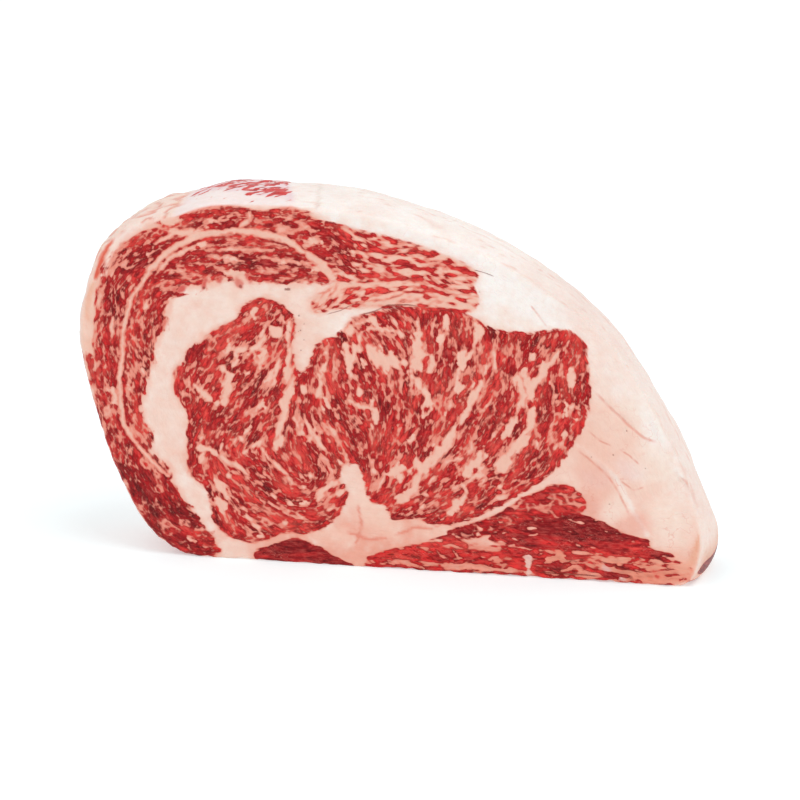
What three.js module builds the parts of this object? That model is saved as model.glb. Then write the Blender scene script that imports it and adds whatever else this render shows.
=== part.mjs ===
// Raw ribeye steak, one thick slice cut across the rib muscle, standing on its
// straight lower edge. Millimetres, +Z up. The two cut faces look along -Y
// (front) and +Y (back); X runs along the length of the slice.
//
// The slice is one closed skin. Its section is a closed spline round the cut
// face. Sections follow each other through the thickness, each one the same
// outline moved in or out along its own normal by a side profile: a rounded
// rim, a soft bulge where the weight of the meat pushes the side out, and a
// taper that draws the back in under the fat cap. The cut faces are crowned
// over the muscles and sink a little along the fat seams.
import * as THREE from 'three';

// ---------------------------------------------------------------- dimensions
const THICKNESS = 46;        // across the two cut faces
const RIM_FRONT = 3.4;       // rounding of the front cut edge
const RIM_BACK = 3.4;        // rounding of the back cut edge
const SIDE_BULGE = 2.0;      // how far the side swells at mid thickness
const TAIL_BULGE = 4.2;      // the same at the low pointed end
const CAP_TAPER = 6.5;       // how far the back is drawn in under the fat cap
const CAP_TAPER_AT = 38;     // degrees from +X where that taper is deepest
const CAP_TAPER_SPREAD = 36; // degrees either side over which it fades
const CREST_RISE = 1.6;      // how much higher the back stands at the upper left
const CREST_AT = -82;        // X of the middle of that rise
const CREST_SPREAD = 26;     // and how far it reaches either way
const FACE_FALL = 1.0;       // the cut faces fall away toward their rims
const SEAM_DEPTH = 0.8;      // depth of the fat seam round the main muscle
const SEAM_WIDTH = 6;        // and its width
const EYE = { x: -9, z: 59.8, rx: 63, rz: 44, tilt: -6 }; // main round muscle
const AROUND = 132;          // steps round the outline
const RIM_STEPS = 4;         // rings in each rounded rim
const SIDE_STEPS = 9;        // rings across the side
const FACE_STEPS = 8;        // rings from a rim to the middle of its face

// Stations round the front cut edge, as seen from the front, clockwise from
// the left end: x, z.
const STATIONS = [
  [-122.9, 88.0],  // left end of the slice
  [-120.1, 103.8],
  [-113.8, 120.2], // upper left corner, where the fat starts
  [-98.6, 131.4],
  [-84.4, 134.8],
  [-70.6, 139.2],  // step up on to the crest
  [-44.4, 140.6],  // crest
  [-17.8, 139.6],
  [8.5, 134.0],
  [34.2, 125.2],   // fat cap runs down from here
  [57.9, 112.6],
  [79.9, 96.4],
  [95.6, 75.3],
  [108.4, 52.8],
  [116.8, 28.4],
  [118.8, 12.8],   // low pointed end
  [114.0, 1.4],
  [96.0, -1.7],    // straight lower edge, pressed flat by the weight
  [59.7, -1.7],
  [20.0, -1.7],
  [-20.6, -1.7],
  [-56.0, -1.4],
  [-78.5, -0.4],
  [-94.6, 8.2],    // lower left corner, rounded up
  [-106.0, 26.8],
  [-114.0, 46.8],
  [-119.0, 64.8],
];

// ------------------------------------------------------------------- outline
const spline = new THREE.CatmullRomCurve3(
  STATIONS.map(([x, z]) => new THREE.Vector3(x, 0, z)), true, 'centripetal');
spline.arcLengthDivisions = 1200;

const rim = [];
for (let i = 0; i < AROUND; i++) {
  const u = i / AROUND;
  const p = spline.getPointAt(u);
  const t = spline.getTangentAt(u);
  // clockwise seen from the front, so the outward normal is the tangent
  // turned a quarter turn to its left
  rim.push({ x: p.x, z: p.z, nx: -t.z, nz: t.x });
}
// The normals are eased along the outline so that insets stay even.
for (let pass = 0; pass < 3; pass++) {
  const eased = rim.map((r, i) => {
    const a = rim[(i + AROUND - 1) % AROUND], b = rim[(i + 1) % AROUND];
    const x = a.nx + 2 * r.nx + b.nx, z = a.nz + 2 * r.nz + b.nz;
    const l = Math.hypot(x, z);
    return [x / l, z / l];
  });
  eased.forEach(([x, z], i) => { rim[i].nx = x; rim[i].nz = z; });
}

const smooth = (e0, e1, v) => {
  const t = Math.min(1, Math.max(0, (v - e0) / (e1 - e0)));
  return t * t * (3 - 2 * t);
};

// How far the side stands out from the outline at depth v (-1 front, 1 back).
function sideOut(r, v) {
  const facing = THREE.MathUtils.radToDeg(Math.atan2(r.nz, r.nx));
  const away = Math.abs(facing - CAP_TAPER_AT);
  const taper = CAP_TAPER * (1 - smooth(0, CAP_TAPER_SPREAD * 1.6, away));
  const tail = smooth(0.35, 1, r.nx) * (1 - smooth(16, 44, r.z));
  const bulge = SIDE_BULGE + (TAIL_BULGE - SIDE_BULGE) * tail;
  const rise = CREST_RISE * Math.exp(-Math.pow((r.x - CREST_AT) / CREST_SPREAD, 2)) * smooth(0.3, 0.8, r.nz);
  return bulge * (1 - v * v) - taper * Math.pow((v + 1) / 2, 1.3) + rise * (v + 1) / 2;
}

// How far a cut face lies in from its outermost plane.
function faceFall(x, z, toRim) {
  const a = THREE.MathUtils.degToRad(EYE.tilt);
  const dx = x - EYE.x, dz = z - EYE.z;
  const ex = (dx * Math.cos(a) + dz * Math.sin(a)) / EYE.rx;
  const ez = (-dx * Math.sin(a) + dz * Math.cos(a)) / EYE.rz;
  const e = Math.hypot(ex, ez);
  const seam = Math.exp(-Math.pow((e - 1) * EYE.rz / SEAM_WIDTH, 2));
  return FACE_FALL * Math.pow(toRim, 4) + SEAM_DEPTH * seam * (1 - Math.pow(toRim, 6));
}

// ------------------------------------------------------------- rings of skin
// Each ring is one turn round the slice: a place for every step of the outline.
const HALF = THICKNESS / 2;
const rings = [];
const place = (r, out, y) => {
  const x = r.x + r.nx * out, z = r.z + r.nz * out;
  return new THREE.Vector3(x, y, Math.max(z, 0)); // rests flat on z = 0
};
const middle = { x: -6, z: 67.8 };

function faceRing(side, share) {
  const rimRadius = side < 0 ? RIM_FRONT : RIM_BACK;
  return rim.map((r) => {
    const edge = place(r, sideOut(r, side) - rimRadius, 0);
    const x = middle.x + (edge.x - middle.x) * share;
    const z = middle.z + (edge.z - middle.z) * share;
    return new THREE.Vector3(x, side * (HALF - faceFall(x, z, share)), z);
  });
}

for (let k = 1; k <= FACE_STEPS; k++) rings.push(faceRing(-1, k / FACE_STEPS));
for (let k = 1; k <= RIM_STEPS; k++) {
  const a = (k / RIM_STEPS) * Math.PI / 2;
  const y = -HALF + RIM_FRONT * (1 - Math.cos(a)) + FACE_FALL * Math.cos(a);
  rings.push(rim.map((r) => place(r, sideOut(r, y / HALF) - RIM_FRONT * (1 - Math.sin(a)), y)));
}
const sideFrom = -HALF + RIM_FRONT, sideTo = HALF - RIM_BACK;
for (let k = 1; k < SIDE_STEPS; k++) {
  const y = sideFrom + (sideTo - sideFrom) * k / SIDE_STEPS;
  rings.push(rim.map((r) => place(r, sideOut(r, y / HALF), y)));
}
for (let k = RIM_STEPS; k >= 1; k--) {
  const a = (k / RIM_STEPS) * Math.PI / 2;
  const y = HALF - RIM_BACK * (1 - Math.cos(a)) - FACE_FALL * Math.cos(a);
  rings.push(rim.map((r) => place(r, sideOut(r, y / HALF) - RIM_BACK * (1 - Math.sin(a)), y)));
}
for (let k = FACE_STEPS; k >= 1; k--) rings.push(faceRing(1, k / FACE_STEPS));

// ---------------------------------------------------------------- closed skin
const positions = [];
for (const ring of rings) for (const p of ring) positions.push(p.x, p.y, p.z);
const front = positions.length / 3;
positions.push(middle.x, -(HALF - faceFall(middle.x, middle.z, 0)), middle.z);
const back = front + 1;
positions.push(middle.x, HALF - faceFall(middle.x, middle.z, 0), middle.z);

const index = [];
const at = (k, i) => k * AROUND + (i % AROUND);
for (let i = 0; i < AROUND; i++) index.push(front, at(0, i + 1), at(0, i));
for (let k = 0; k + 1 < rings.length; k++) {
  for (let i = 0; i < AROUND; i++) {
    const a = at(k, i), b = at(k, i + 1), c = at(k + 1, i + 1), d = at(k + 1, i);
    index.push(a, b, c, a, c, d);
  }
}
for (let i = 0; i < AROUND; i++) {
  const k = rings.length - 1;
  index.push(back, at(k, i), at(k, i + 1));
}

const skin = new THREE.BufferGeometry();
skin.setAttribute('position', new THREE.Float32BufferAttribute(positions, 3));
skin.setIndex(index);
skin.computeVertexNormals();
skin.computeBoundingBox();

const steak = new THREE.Mesh(skin, new THREE.MeshStandardMaterial({
  color: 0xc8574d, roughness: 0.45, metalness: 0,
}));
steak.name = 'ribeye_steak';
// The middle of the slice stands over the origin.
const box = skin.boundingBox;
steak.position.set(-(box.min.x + box.max.x) / 2, 0, 0);

const group = new THREE.Group();
group.add(steak);
export default group;
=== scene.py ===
"""Looks of a raw ribeye steak: one thick slice standing on its straight lower edge.

The slice is one closed mesh. Its outline and side profile are the same
functions as the CAD part's, with a finer skin: the cut faces carry fields
that say how deep in lean meat or in fat each point lies, and the material
turns those into crisp marbling, fibres, seams and fat. Lengths here are in
millimetres until the mesh is made, which is in metres.
"""
import math

import bpy
import numpy as np
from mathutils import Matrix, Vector
from mathutils.geometry import delaunay_2d_cdt


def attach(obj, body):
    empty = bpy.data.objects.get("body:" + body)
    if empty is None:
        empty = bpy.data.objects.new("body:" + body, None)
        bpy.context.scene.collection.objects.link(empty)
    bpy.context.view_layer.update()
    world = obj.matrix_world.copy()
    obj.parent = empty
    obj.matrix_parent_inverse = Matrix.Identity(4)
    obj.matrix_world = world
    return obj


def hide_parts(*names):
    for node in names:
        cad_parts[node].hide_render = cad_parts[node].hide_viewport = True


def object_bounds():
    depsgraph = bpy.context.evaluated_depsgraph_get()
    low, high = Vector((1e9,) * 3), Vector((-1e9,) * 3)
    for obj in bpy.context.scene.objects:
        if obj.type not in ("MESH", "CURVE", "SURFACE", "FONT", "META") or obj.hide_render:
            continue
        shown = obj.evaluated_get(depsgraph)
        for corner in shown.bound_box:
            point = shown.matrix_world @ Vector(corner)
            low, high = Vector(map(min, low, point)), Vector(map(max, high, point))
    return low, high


# === numbers and fields ======================================================
THICKNESS = 46.0
HALF = THICKNESS / 2
CAD_RIM_FRONT = 3.4
RIM_FRONT = 2.6
RIM_BACK = 3.4
SIDE_BULGE = 2.0
TAIL_BULGE = 4.2
CAP_TAPER = 6.5
CAP_TAPER_AT = 38.0
CAP_TAPER_SPREAD = 36.0
LIFT = 1.8          # the outline stands this much above the frame of the muscles
CREST_RISE = 1.6
CREST_AT = -82.0
CREST_SPREAD = 26.0
OUTLINE = [
    (-122.9, 88.0), (-120.1, 103.8), (-113.8, 120.2), (-98.6, 131.4), (-84.4, 134.8), (-70.6, 139.2),
    (-44.4, 140.6), (-17.8, 139.6), (8.5, 134.0), (34.2, 125.2), (57.9, 112.6), (79.9, 96.4), (95.6,
    75.3), (108.4, 52.8), (116.8, 28.4), (118.8, 12.8), (114.0, 1.4), (96.0, -1.7), (59.7, -1.7), (20.0,
    -1.7), (-20.6, -1.7), (-56.0, -1.4), (-78.5, -0.4), (-94.6, 8.2), (-106.0, 26.8), (-114.0, 46.8),
    (-119.0, 64.8),
]
STATIONS = [(x, z - LIFT) for x, z in OUTLINE]

# Outlines of the muscles in the plane of the cut face: x, z.
EYE = [(-51, 101.5), (-57, 98.5), (-60.5, 92.5), (-69, 89), (-74, 83.5), (-79, 80), (-80.5, 75.5),
       (-84.5, 72), (-85, 67), (-82.5, 60.5), (-79.5, 57), (-79.5, 45), (-79.5, 32), (-73, 28),
       (-70.5, 19), (-68, 10), (-58, 6.5), (-51, 6), (-44, 10.5), (-35, 11), (-27, 13.5),
       (-21.5, 19), (-17.5, 27.5), (-21, 33), (-19, 38), (-13, 40), (-10, 33), (-8, 25.5), (-2, 24),
       (1, 19), (9, 19.5), (18, 17.5), (28, 20), (40, 25.5), (52, 33.5), (62, 41.5), (69, 52),
       (74, 62), (75.5, 72), (74.5, 82), (72.5, 91.5), (66, 95), (53, 93.5), (39, 94), (34, 97.5),
       (22, 101), (6, 101), (-8, 98.5), (-16, 95), (-21, 88.5), (-28, 85.5), (-31, 78), (-35.5, 72),
       (-37.5, 76), (-38.5, 84), (-38, 94), (-43, 99.5)]
CAP = [(-70, -1.5), (-86, -1.5), (-96.5, 7), (-104.5, 20), (-110.5, 34), (-115, 47), (-118, 60),
       (-118.5, 69), (-118, 78), (-115.8, 88), (-115, 97), (-114.6, 104), (-111, 110.5),
       (-107.5, 117.5), (-101, 123.5), (-93, 128), (-85, 131), (-80, 135), (-72, 137.4), (-63, 138),
       (-57, 136.5), (-50, 135.8), (-40, 138.6), (-33, 136), (-26, 133), (-20, 130.5), (-15, 124),
       (-16, 117), (-20, 113), (-25, 110.5), (-34, 110), (-47, 109), (-57, 110.5), (-66, 109),
       (-74, 106.5), (-81, 105), (-86, 101.5), (-88, 95), (-89, 89), (-93, 82), (-94, 76),
       (-96, 70), (-98, 62), (-99, 53), (-95, 45), (-96, 39), (-88, 34), (-87, 29.5), (-84, 23),
       (-79, 16.5), (-75.5, 10.5), (-69.5, 5)]
STREAK = [(-24, 131.5), (-14, 130.5), (-5, 128.5), (8, 126), (19, 122.5), (28, 119), (32.5, 115.5),
          (31, 110.5), (33, 106), (31, 102), (16, 101.5), (2, 102.5), (-9, 101), (-20, 100.5),
          (-30, 98.5), (-30, 103), (-24, 108), (-20, 113), (-21, 120)]
LOBE = [(22, 14.5), (31, 18), (42, 23), (50, 29), (57, 32.5), (63, 35.5), (69, 35), (73.5, 31.5),
        (75, 28), (71.5, 24), (66, 22), (58, 20.5), (48, 17.5), (36, 14), (26, 12)]
DARK = [(38, 13), (50, 19.5), (62, 21.5), (72, 24.2), (80, 22.5), (86, 19.5), (92, 17), (99, 15.5),
        (100, 13), (109, 10.5), (99, 10), (80, 10.5), (60, 10), (46, 10.5)]
BSTRIP = [(-9, 2), (2, 6.5), (12, 9), (22, 12.8), (32, 10), (50, 9.8), (75, 10), (100, 10.5),
          (112, 7), (118, 2.5), (105, -1.5), (60, -3.5), (0, -3.5), (-10, -2.5)]
BLEFT = [(-54, 1.0), (-45, 5.5), (-37, 8), (-30, 5.5), (-23, 2), (-15, -2.5), (-25, -4), (-52, -4)]
MUSCLES = {"EYE": EYE, "CAP": CAP, "STREAK": STREAK, "LOBE": LOBE, "DARK": DARK,
           "BSTRIP": BSTRIP, "BLEFT": BLEFT}

# Lie of the grain at points of the main muscle and of the streaky one: x, z, degrees.
GRAIN = [(39, 80, 87), (-85, 67, 87), (21, 18, 21), (-22, 50, 121), (7, 48, 67), (-46, 64, 46),
         (-56, 32, 138), (-80, 35, 76), (-21, 20, 51), (-39, 95, 122), (-57, 98, 48), (0, 92, 150),
         (-36, 61, 107), (-59, 48, 64), (-79, 80, 51), (65, 46, 51), (-36, 12, 162), (21, 93, 89),
         (75, 73, 96), (26, 27, 46), (-29, 84, 55), (-20, 75, 111), (-62, 36, 145), (-61, 53, 46),
         (-69, 13, 98), (-54, 6, 173), (31, 65, 65), (-53, 101, 31), (57, 51, 81), (49, 32, 36),
         (36, 96, 100), (57, 94, 60), (65, 89, 78), (-49, 85, 56), (5, 70, 95), (-8, 84, 120),
         (12, 82, 60)]
GRAIN_TOP = [(5, 126, 175), (-29, 104, 43), (32, 106, 170), (-24, 131, 165), (-5, 104, 19),
             (20, 104, 175), (-22, 118, 125), (8, 114, 2), (26, 114, 165)]

# Fat streaks of the main muscle: half width, then x, z pairs.
STREAKS = [
    (2.6, -35, 99, -36, 90, -37, 83, -39, 76), (1.5, -39, 76, -40, 68, -41.5, 60),
    (1.6, -41.5, 60, -43, 52, -44.5, 46), (1.3, -54, 97, -52.5, 94), (2.6, -47, 91.5, -43, 88.5),
    (1.5, -41, 90, -40, 86), (1.5, -49, 88, -52, 83.5, -57, 82, -62, 81.5),
    (1.4, -61, 81, -60, 78, -62, 75), (1.0, -64, 87, -63, 83),
    (1.6, -67, 75, -63, 71.5, -63.5, 66, -66, 60.5, -69.5, 60.5),
    (1.3, -69.5, 60.5, -74, 64, -77.5, 67.5), (1.2, -44, 80, -44, 76, -46, 70, -48, 66),
    (1.3, -57, 73, -55, 73), (0.9, -56, 57, -53, 60, -50, 61), (1.5, -77.5, 42.5, -72, 42, -68, 40),
    (1.3, -68, 40, -63, 37, -59, 35, -56, 32), (1.0, -66, 44.5, -68, 41),
    (1.0, -58, 41, -55, 44, -52, 45.5, -50, 42), (0.9, -50, 42, -46, 38, -43, 35, -40, 32.5),
    (1.3, -60, 48, -58.5, 46), (1.4, -64.5, 32.5, -63, 31.5),
    (1.0, -68.5, 27.5, -66, 26, -62, 23, -60, 20), (1.1, -69, 21, -65, 18.5),
    (1.1, -60, 20, -56, 15, -53, 12, -50.5, 8), (1.0, -48, 22, -44, 19), (0.9, -47, 25.5, -45, 24),
    (1.3, -42.5, 14.5, -41.5, 13.5), (1.2, -40, 23.5, -39.5, 21.5),
    (1.3, -34, 56, -31.5, 52, -28, 47, -26, 44.5), (1.2, -26.5, 55, -22, 50),
    (0.9, -38.5, 56.5, -36, 53), (1.0, -34, 34, -29, 33), (0.9, -35.5, 31, -34, 28.5),
    (1.5, -29, 24, -27, 27.5, -23, 31, -20, 32), (1.0, -25, 20.5, -21.5, 22),
    (1.8, -37.5, 75, -34.5, 79, -31.5, 84), (1.9, -35, 68.5, -33, 66.5),
    (1.5, -29, 65, -27.5, 70, -28.5, 74), (1.5, -19.5, 83, -15, 80, -14, 86),
    (1.4, -16, 75.5, -13.5, 73), (1.7, -12.5, 69, -12, 66.5),
    (1.3, -17, 65, -12, 62, -8, 62, -5, 59, -4, 56), (1.1, -6, 85.5, -7.5, 82),
    (1.3, -8.5, 79, 0, 80.5, 7, 80), (1.4, 7, 80, 11, 83.5, 14.5, 84, 17, 80.5, 14, 77.5),
    (1.7, 8, 75.5, 12, 70.5, 15, 67.5, 13.5, 64), (1.1, -12, 91, -8, 93, -2, 93, 4, 91.2, 8, 90),
    (1.3, -12, 91, -13, 86, -12, 83), (0.9, -15, 94, -8, 96.5, -4, 95), (0.9, 1, 97, 4, 94),
    (0.9, 20.5, 99, 21, 92), (0.8, 17, 95, 19, 90), (1.4, 33.5, 94, 31.5, 86, 28, 82, 26, 78, 25, 71),
    (1.3, 39.5, 86.5, 40, 80), (0.9, 36, 81, 35, 77), (1.8, 3, 25, 9, 31, 12, 38),
    (2.0, 12, 38, 20, 47, 25, 56), (1.6, 25, 56, 29, 62, 33, 70, 34.5, 75), (0.9, 20, 61, 23.5, 67),
    (1.0, 35, 63, 38.5, 67.5), (1.0, 21, 42, 28, 44, 31, 48, 30.5, 51), (2.0, 34, 47, 34, 40),
    (3.0, 42, 40, 45, 45.5), (1.8, 45, 46, 49, 52, 53, 58, 55, 64), (1.1, 42.5, 53, 46, 58, 48, 62),
    (1.7, 50.5, 66, 51, 70, 49, 77), (1.5, 53, 70, 56.5, 77, 59, 80.5),
    (1.3, 59, 80.5, 62, 84, 64.5, 88.5), (1.0, 61, 76, 63.5, 71), (1.9, 53.5, 86, 55, 84),
    (1.2, 69, 80, 69.5, 78), (1.2, 68, 66.5, 71, 66.5), (1.1, 63, 49.5, 65.5, 53),
    (0.9, 67, 58.5, 66, 54), (0.9, 56, 52, 57, 49), (1.2, 21.5, 21.5, 27, 27, 29.5, 31, 26.5, 36),
    (1.2, 12.5, 29, 14, 28.5), (0.9, 16.5, 36, 14, 33), (1.6, 1.5, 39, 3.5, 34.5),
    (1.0, 6.5, 38.5, 8, 36.5), (1.4, -7.5, 38, -6.5, 36), (0.7, -2.5, 45.5, -3, 35, -5.5, 28),
    (1.0, 33.5, 33.5, 37.5, 36), (1.1, 41, 34, 43.5, 31.5), (0.7, 3, 53, 7, 58),
    (0.6, 12.5, 60, 13, 54)]
# Fat seams of the outer muscle, the same way.
SEAMS = [
    (1.5, -34, 121, -41, 126, -52, 127.8, -60, 128.5),
    (1.3, -60, 128.5, -68, 127, -76, 125, -83, 121.5, -89, 117, -94, 111, -97, 106),
    (0.9, -55, 136.5, -54.5, 133, -59, 129.5),
    (1.1, -97, 106, -101, 101, -103.5, 94, -105, 86, -105.5, 78, -106.5, 68, -106.5, 58, -105.5, 50,
     -102, 44, -98, 39, -93, 34, -88, 30),
    (0.9, -92, 122, -84, 126, -77, 128), (0.8, -78, 121, -86, 116.5, -92, 109.5),
    (0.9, -109, 92, -109.5, 84), (0.7, -45, 121.5, -60, 121.3, -72, 120), (0.7, -35, 117, -50, 118.5),
    (1.7, -33, 121, -26, 116.5, -22.5, 111, -23, 105)]
# And of the streaky muscle at the top.
TOPFAT = [
    (1.6, -13, 116, -17, 111.5, -22, 106), (1.3, -14, 108, 0, 110.8, 10, 109),
    (1.5, 12, 106, 22, 107.5, 31, 107.3), (2.0, 20.5, 116.8, 22, 116.2), (0.8, -8, 122, 6, 120.5),
    (0.9, -10, 114.5, 4, 116), (1.2, 10, 118, 20, 120), (1.6, -8, 104, 8, 104.5, 20, 104)]
# And of the small muscles along the lower edge.
LOWFAT = [
    (0.8, 23.3, 13.9, 27.6, 11.8, 32.3, 10.1, 40.8, 8.7, 47.0, 10.7, 49.7, 12.4),
    (0.45, 49.7, 12.4, 53.9, 15.1, 59.6, 17.4, 62.7, 20.8, 67.7, 22.3, 72.6, 23.7),
    (0.5, 53.8, 21.0, 55.4, 19.5, 56.6, 18.0), (0.4, 24.9, 16.8, 30.7, 18.4, 34.6, 16.2, 33.0, 13.3),
    (1.5, 19.5, 0.9, 26.9, 0.6, 38.5, 0.6, 48.2, 0.0), (1.4, 60.1, 5.5, 64.7, 7.4, 67.8, 6.4),
    (1.2, 65.6, 1.5, 71.3, 4.3, 74.4, 0.9), (0.7, 81.0, 7.1, 88.5, 6.6, 100.0, 6.1, 115.3, 5.1),
    (0.6, 92.5, 1.2, 100.1, 1.0, 111.5, 2.1), (0.5, 30.7, 6.8, 34.6, 5.9, 38.5, 4.5, 42.4, 6.4),
    (0.45, 23.7, 6.8, 26.1, 4.5, 28.8, 3.5), (0.4, 40.4, 15.4, 42.3, 13.5, 44.2, 15.6, 46.6, 14.2),
    (0.5, 69.3, 12.1, 77.0, 11.0, 83.5, 12.2),
    (1.6, 53.4, 7.9, 53.1, -1.3), (1.3, 82.4, 5.0, 83.6, 3.1), (1.0, 87.9, 0.6, 90.2, -0.1),
    (0.5, 57.0, 7.8, 60.5, 8.6, 66.0, 8.4), (0.5, 70.0, 9.0, 77.0, 9.6, 84.0, 9.0), (0.5, 40.0, 4.0, 46.0, 3.2, 51.0, 4.4),
    (0.45, 56.0, 3.6, 61.0, 2.4, 66.0, 3.0), (0.45, 30.0, 10.4, 38.0, 10.9, 46.0, 12.0)]
# Tinted marks on the front's fat, and painted highlights along three ridges of its folds: colour, half width, x, z
# pairs.
FAT_TINTS_AND_RIDGE_HIGHLIGHTS = [
    ((249, 212, 194), 3.4, -9.0, 24.0, -7.0, 18.0, 1.0, 14.0), ((248, 208, 190), 2.8, 12.0, 14.5, 22.0, 13.5),
    ((248, 206, 188), 2.6, -30.0, 9.5, -18.0, 10.5), ((233, 140, 120), 0.35, -17.0, 12.0, -9.0, 9.5, -2.0, 10.5),
    ((233, 140, 120), 0.35, 2.0, 12.0, 9.0, 15.5, 16.0, 15.5), ((233, 146, 126), 0.3, -13.0, 22.0, -11.5, 15.0, -14.0, 8.0),
    ((224, 82, 60), 1.0, -109.0, 123.4, -113.5, 114.0, -115.8, 106.9),
    ((250, 220, 206), 1.0, -106.6, 123.4, -110.7, 115.4, -113.3, 107.4),
    ((240, 176, 148), 0.9, -116.5, 104.9, -118.6, 99.7, -119.5, 90.6),
    ((243, 190, 168), 2.4, -116.9, 102.5, -118.3, 91.8, -119.8, 78.7, -120.5, 64.8),
    ((252, 238, 234), 2.6, -108.6, 125.2, -104.6, 128.1, -100.2, 130.3),
    ((214, 84, 76), 1.1, -72.6, 109.0, -73.1, 105.5), ((214, 84, 76), 1.3, -67.6, 111.6, -66.9, 108.3),
    ((218, 92, 84), 1.2, -55.8, 111.8, -54.8, 109.1), ((218, 92, 84), 1.1, -48.9, 112.1, -48.0, 109.4),
    ((212, 80, 74), 1.3, -80.9, 105.5, -85.0, 102.5), ((222, 110, 98), 1.2, -89.0, 92.1, -90.2, 88.1),
    ((222, 120, 106), 1.4, -60.1, 109.2, -58.6, 106.6),
    # painted highlight: the next three white lines lie along the ridges of the fat folds
    ((252, 234, 226), 0.9, 71.9, 51.6, 76.4, 48.7, 80.7, 45.0, 85.0, 40.8, 88.1, 36.6, 90.9, 31.3,
     93.6, 26.0, 97.0, 21.3, 98.7, 18.0),
    ((252, 240, 232), 1.0, 101.2, 63.1, 103.3, 58.8, 104.9, 55.2),
    ((252, 240, 234), 1.0, 108.9, 44.5, 113.2, 40.9, 115.9, 36.7, 116.5, 34.5),
    ((243, 216, 214), 2.6, 89.1, 45.1, 95.1, 42.1), ((243, 214, 212), 2.4, 75.7, 39.9, 81.5, 37.4),
    ((236, 160, 142), 3.2, 75.8, 31.0, 77.8, 25.4), ((238, 168, 150), 2.8, 88.4, 18.8, 92.7, 22.1, 97.8, 22.6),
    ((250, 226, 212), 4.5, 84.0, 58.0, 92.0, 66.0), ((250, 226, 212), 4.5, 96.0, 48.0, 103.0, 42.0),
    ((249, 214, 200), 7.0, 74.0, 101.0, 84.0, 90.0, 92.0, 78.0),
    ((251, 228, 214), 4.0, 104.0, 28.0, 108.0, 18.0), ((250, 224, 210), 3.2, 84.0, 26.0, 88.0, 32.0),
    ((240, 178, 158), 3.0, 105.7, 8.9, 115.2, 7.1, 119.7, 11.3),
    ((206, 128, 92), 0.4, 121.2, 25.2, 118.8, 18.8, 117.0, 12.4), ((238, 176, 150), 1.6, 121.0, 22.0, 118.4, 16.0, 115.5, 7.0),
    ((222, 150, 122), 0.9, 121.7, 28.0, 124.8, 24.2),
    ((242, 184, 164), 4.5, 70.8, 53.9, 76.5, 50.3, 80.4, 45.8),
    ((244, 196, 178), 5.0, 78.0, 66.0, 86.0, 58.0, 90.0, 50.0),
    ((240, 178, 158), 3.5, 74.0, 42.0, 82.0, 34.0),
    ((243, 204, 194), 1.6, 53.4, 7.9, 53.1, -1.3), ((238, 200, 204), 1.3, 82.4, 5.0, 83.6, 3.1),
    ((240, 208, 202), 1.3, 87.9, 0.6, 90.2, -0.1), ((236, 150, 126), 1.6, 60.1, 5.5, 64.7, 7.4, 67.8, 6.4),
    ((236, 146, 124), 1.4, 65.6, 1.5, 71.3, 4.3, 74.4, 0.9),
    ((238, 160, 134), 2.4, 79.0, 7.1, 88.5, 6.6, 100.0, 6.1, 115.3, 5.1),
    ((238, 152, 128), 2.0, 90.5, 1.2, 100.1, 1.0, 111.5, 2.1)]
# Thin dark lines of the front, and thin pink lines, most of them along its creases, where the pink is painted shade:
# half width, x, z pairs.
DARK_LINES = [
    (0.26, -12.8, 97.6, -6.6, 99.5, -1.6, 102.1, 6.0, 102.7, 11.9, 102.2),
    (0.24, 13.8, 100.7, 15.8, 100.5, 20.7, 101.3, 26.1, 100.6),
    (0.18, -25.2, 97.4, -19.7, 99.2, -15.1, 101.8, -11.2, 102.7), (0.5, -41.4, 106.3, -39.1, 106.5),
    (0.15, 31.2, 117.3, 35.9, 116.1, 39.0, 115.0), (0.2, 77.8, 7.1, 85.5, 5.2, 91.6, 3.6, 98.2, 2.8),
    (0.3, 54.0, 0.4, 65.6, 0.3, 81.0, 0.3), (0.2, 57.8, 3.4, 64.0, 2.2, 69.8, 5.8, 73.2, 5.6)]
PINK_LINES_AND_CREASE_SHADE = [
    (0.3, 76.2, 74.2, 83.0, 67.5, 90.1, 60.8, 96.5, 55.7, 102.3, 53.9),
    (0.25, 70.8, 50.3, 75.4, 47.1, 79.7, 43.4, 83.9, 39.4, 87.0, 34.9, 89.8, 29.5, 92.1, 24.6),
    (0.2, 88.1, 38.8, 93.1, 35.2, 97.3, 36.6), (0.2, 87.2, 51.1, 91.3, 48.6, 95.3, 45.1),
    (0.25, 110.8, 41.0, 114.7, 37.7, 117.0, 33.2), (0.2, 74.9, 58.0, 80.3, 53.6, 84.9, 51.9),
    (0.2, 52.8, 104.8, 56.2, 100.8, 59.3, 96.7),
    (0.22, 65.6, 112.4, 75.9, 106.4, 84.6, 99.9)]
# Small dark spots: radius, x, z.
SPOTS = [
    (0.7, -73.0, 105.3), (0.9, -58.6, 106.6), (0.6, -82.9, 105.8), (0.5, -35.9, 96.4),
    (0.35, -33.9, 93.2), (0.45, -35.3, 90.6), (0.3, -36.1, 90.1), (0.4, -34.0, 87.0), (0.35, -35.2, 82.8),
    (0.35, 30.7, 108.7), (0.3, 32.2, 108.8), (0.35, 33.7, 108.9), (0.45, 85.2, 48.5),
    (0.35, 76.9, 47.2), (0.5, 38.2, 124.8), (0.4, 90.1, 58.1), (0.35, 97.5, 43.7), (0.4, 84.0, 29.2),
    (0.8, 73.6, 6.4), (0.6, 62.5, 1.0), (0.9, 92.5, 0.8), (0.4, -39.6, 89.6), (0.35, -37.6, 92.8)]
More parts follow.
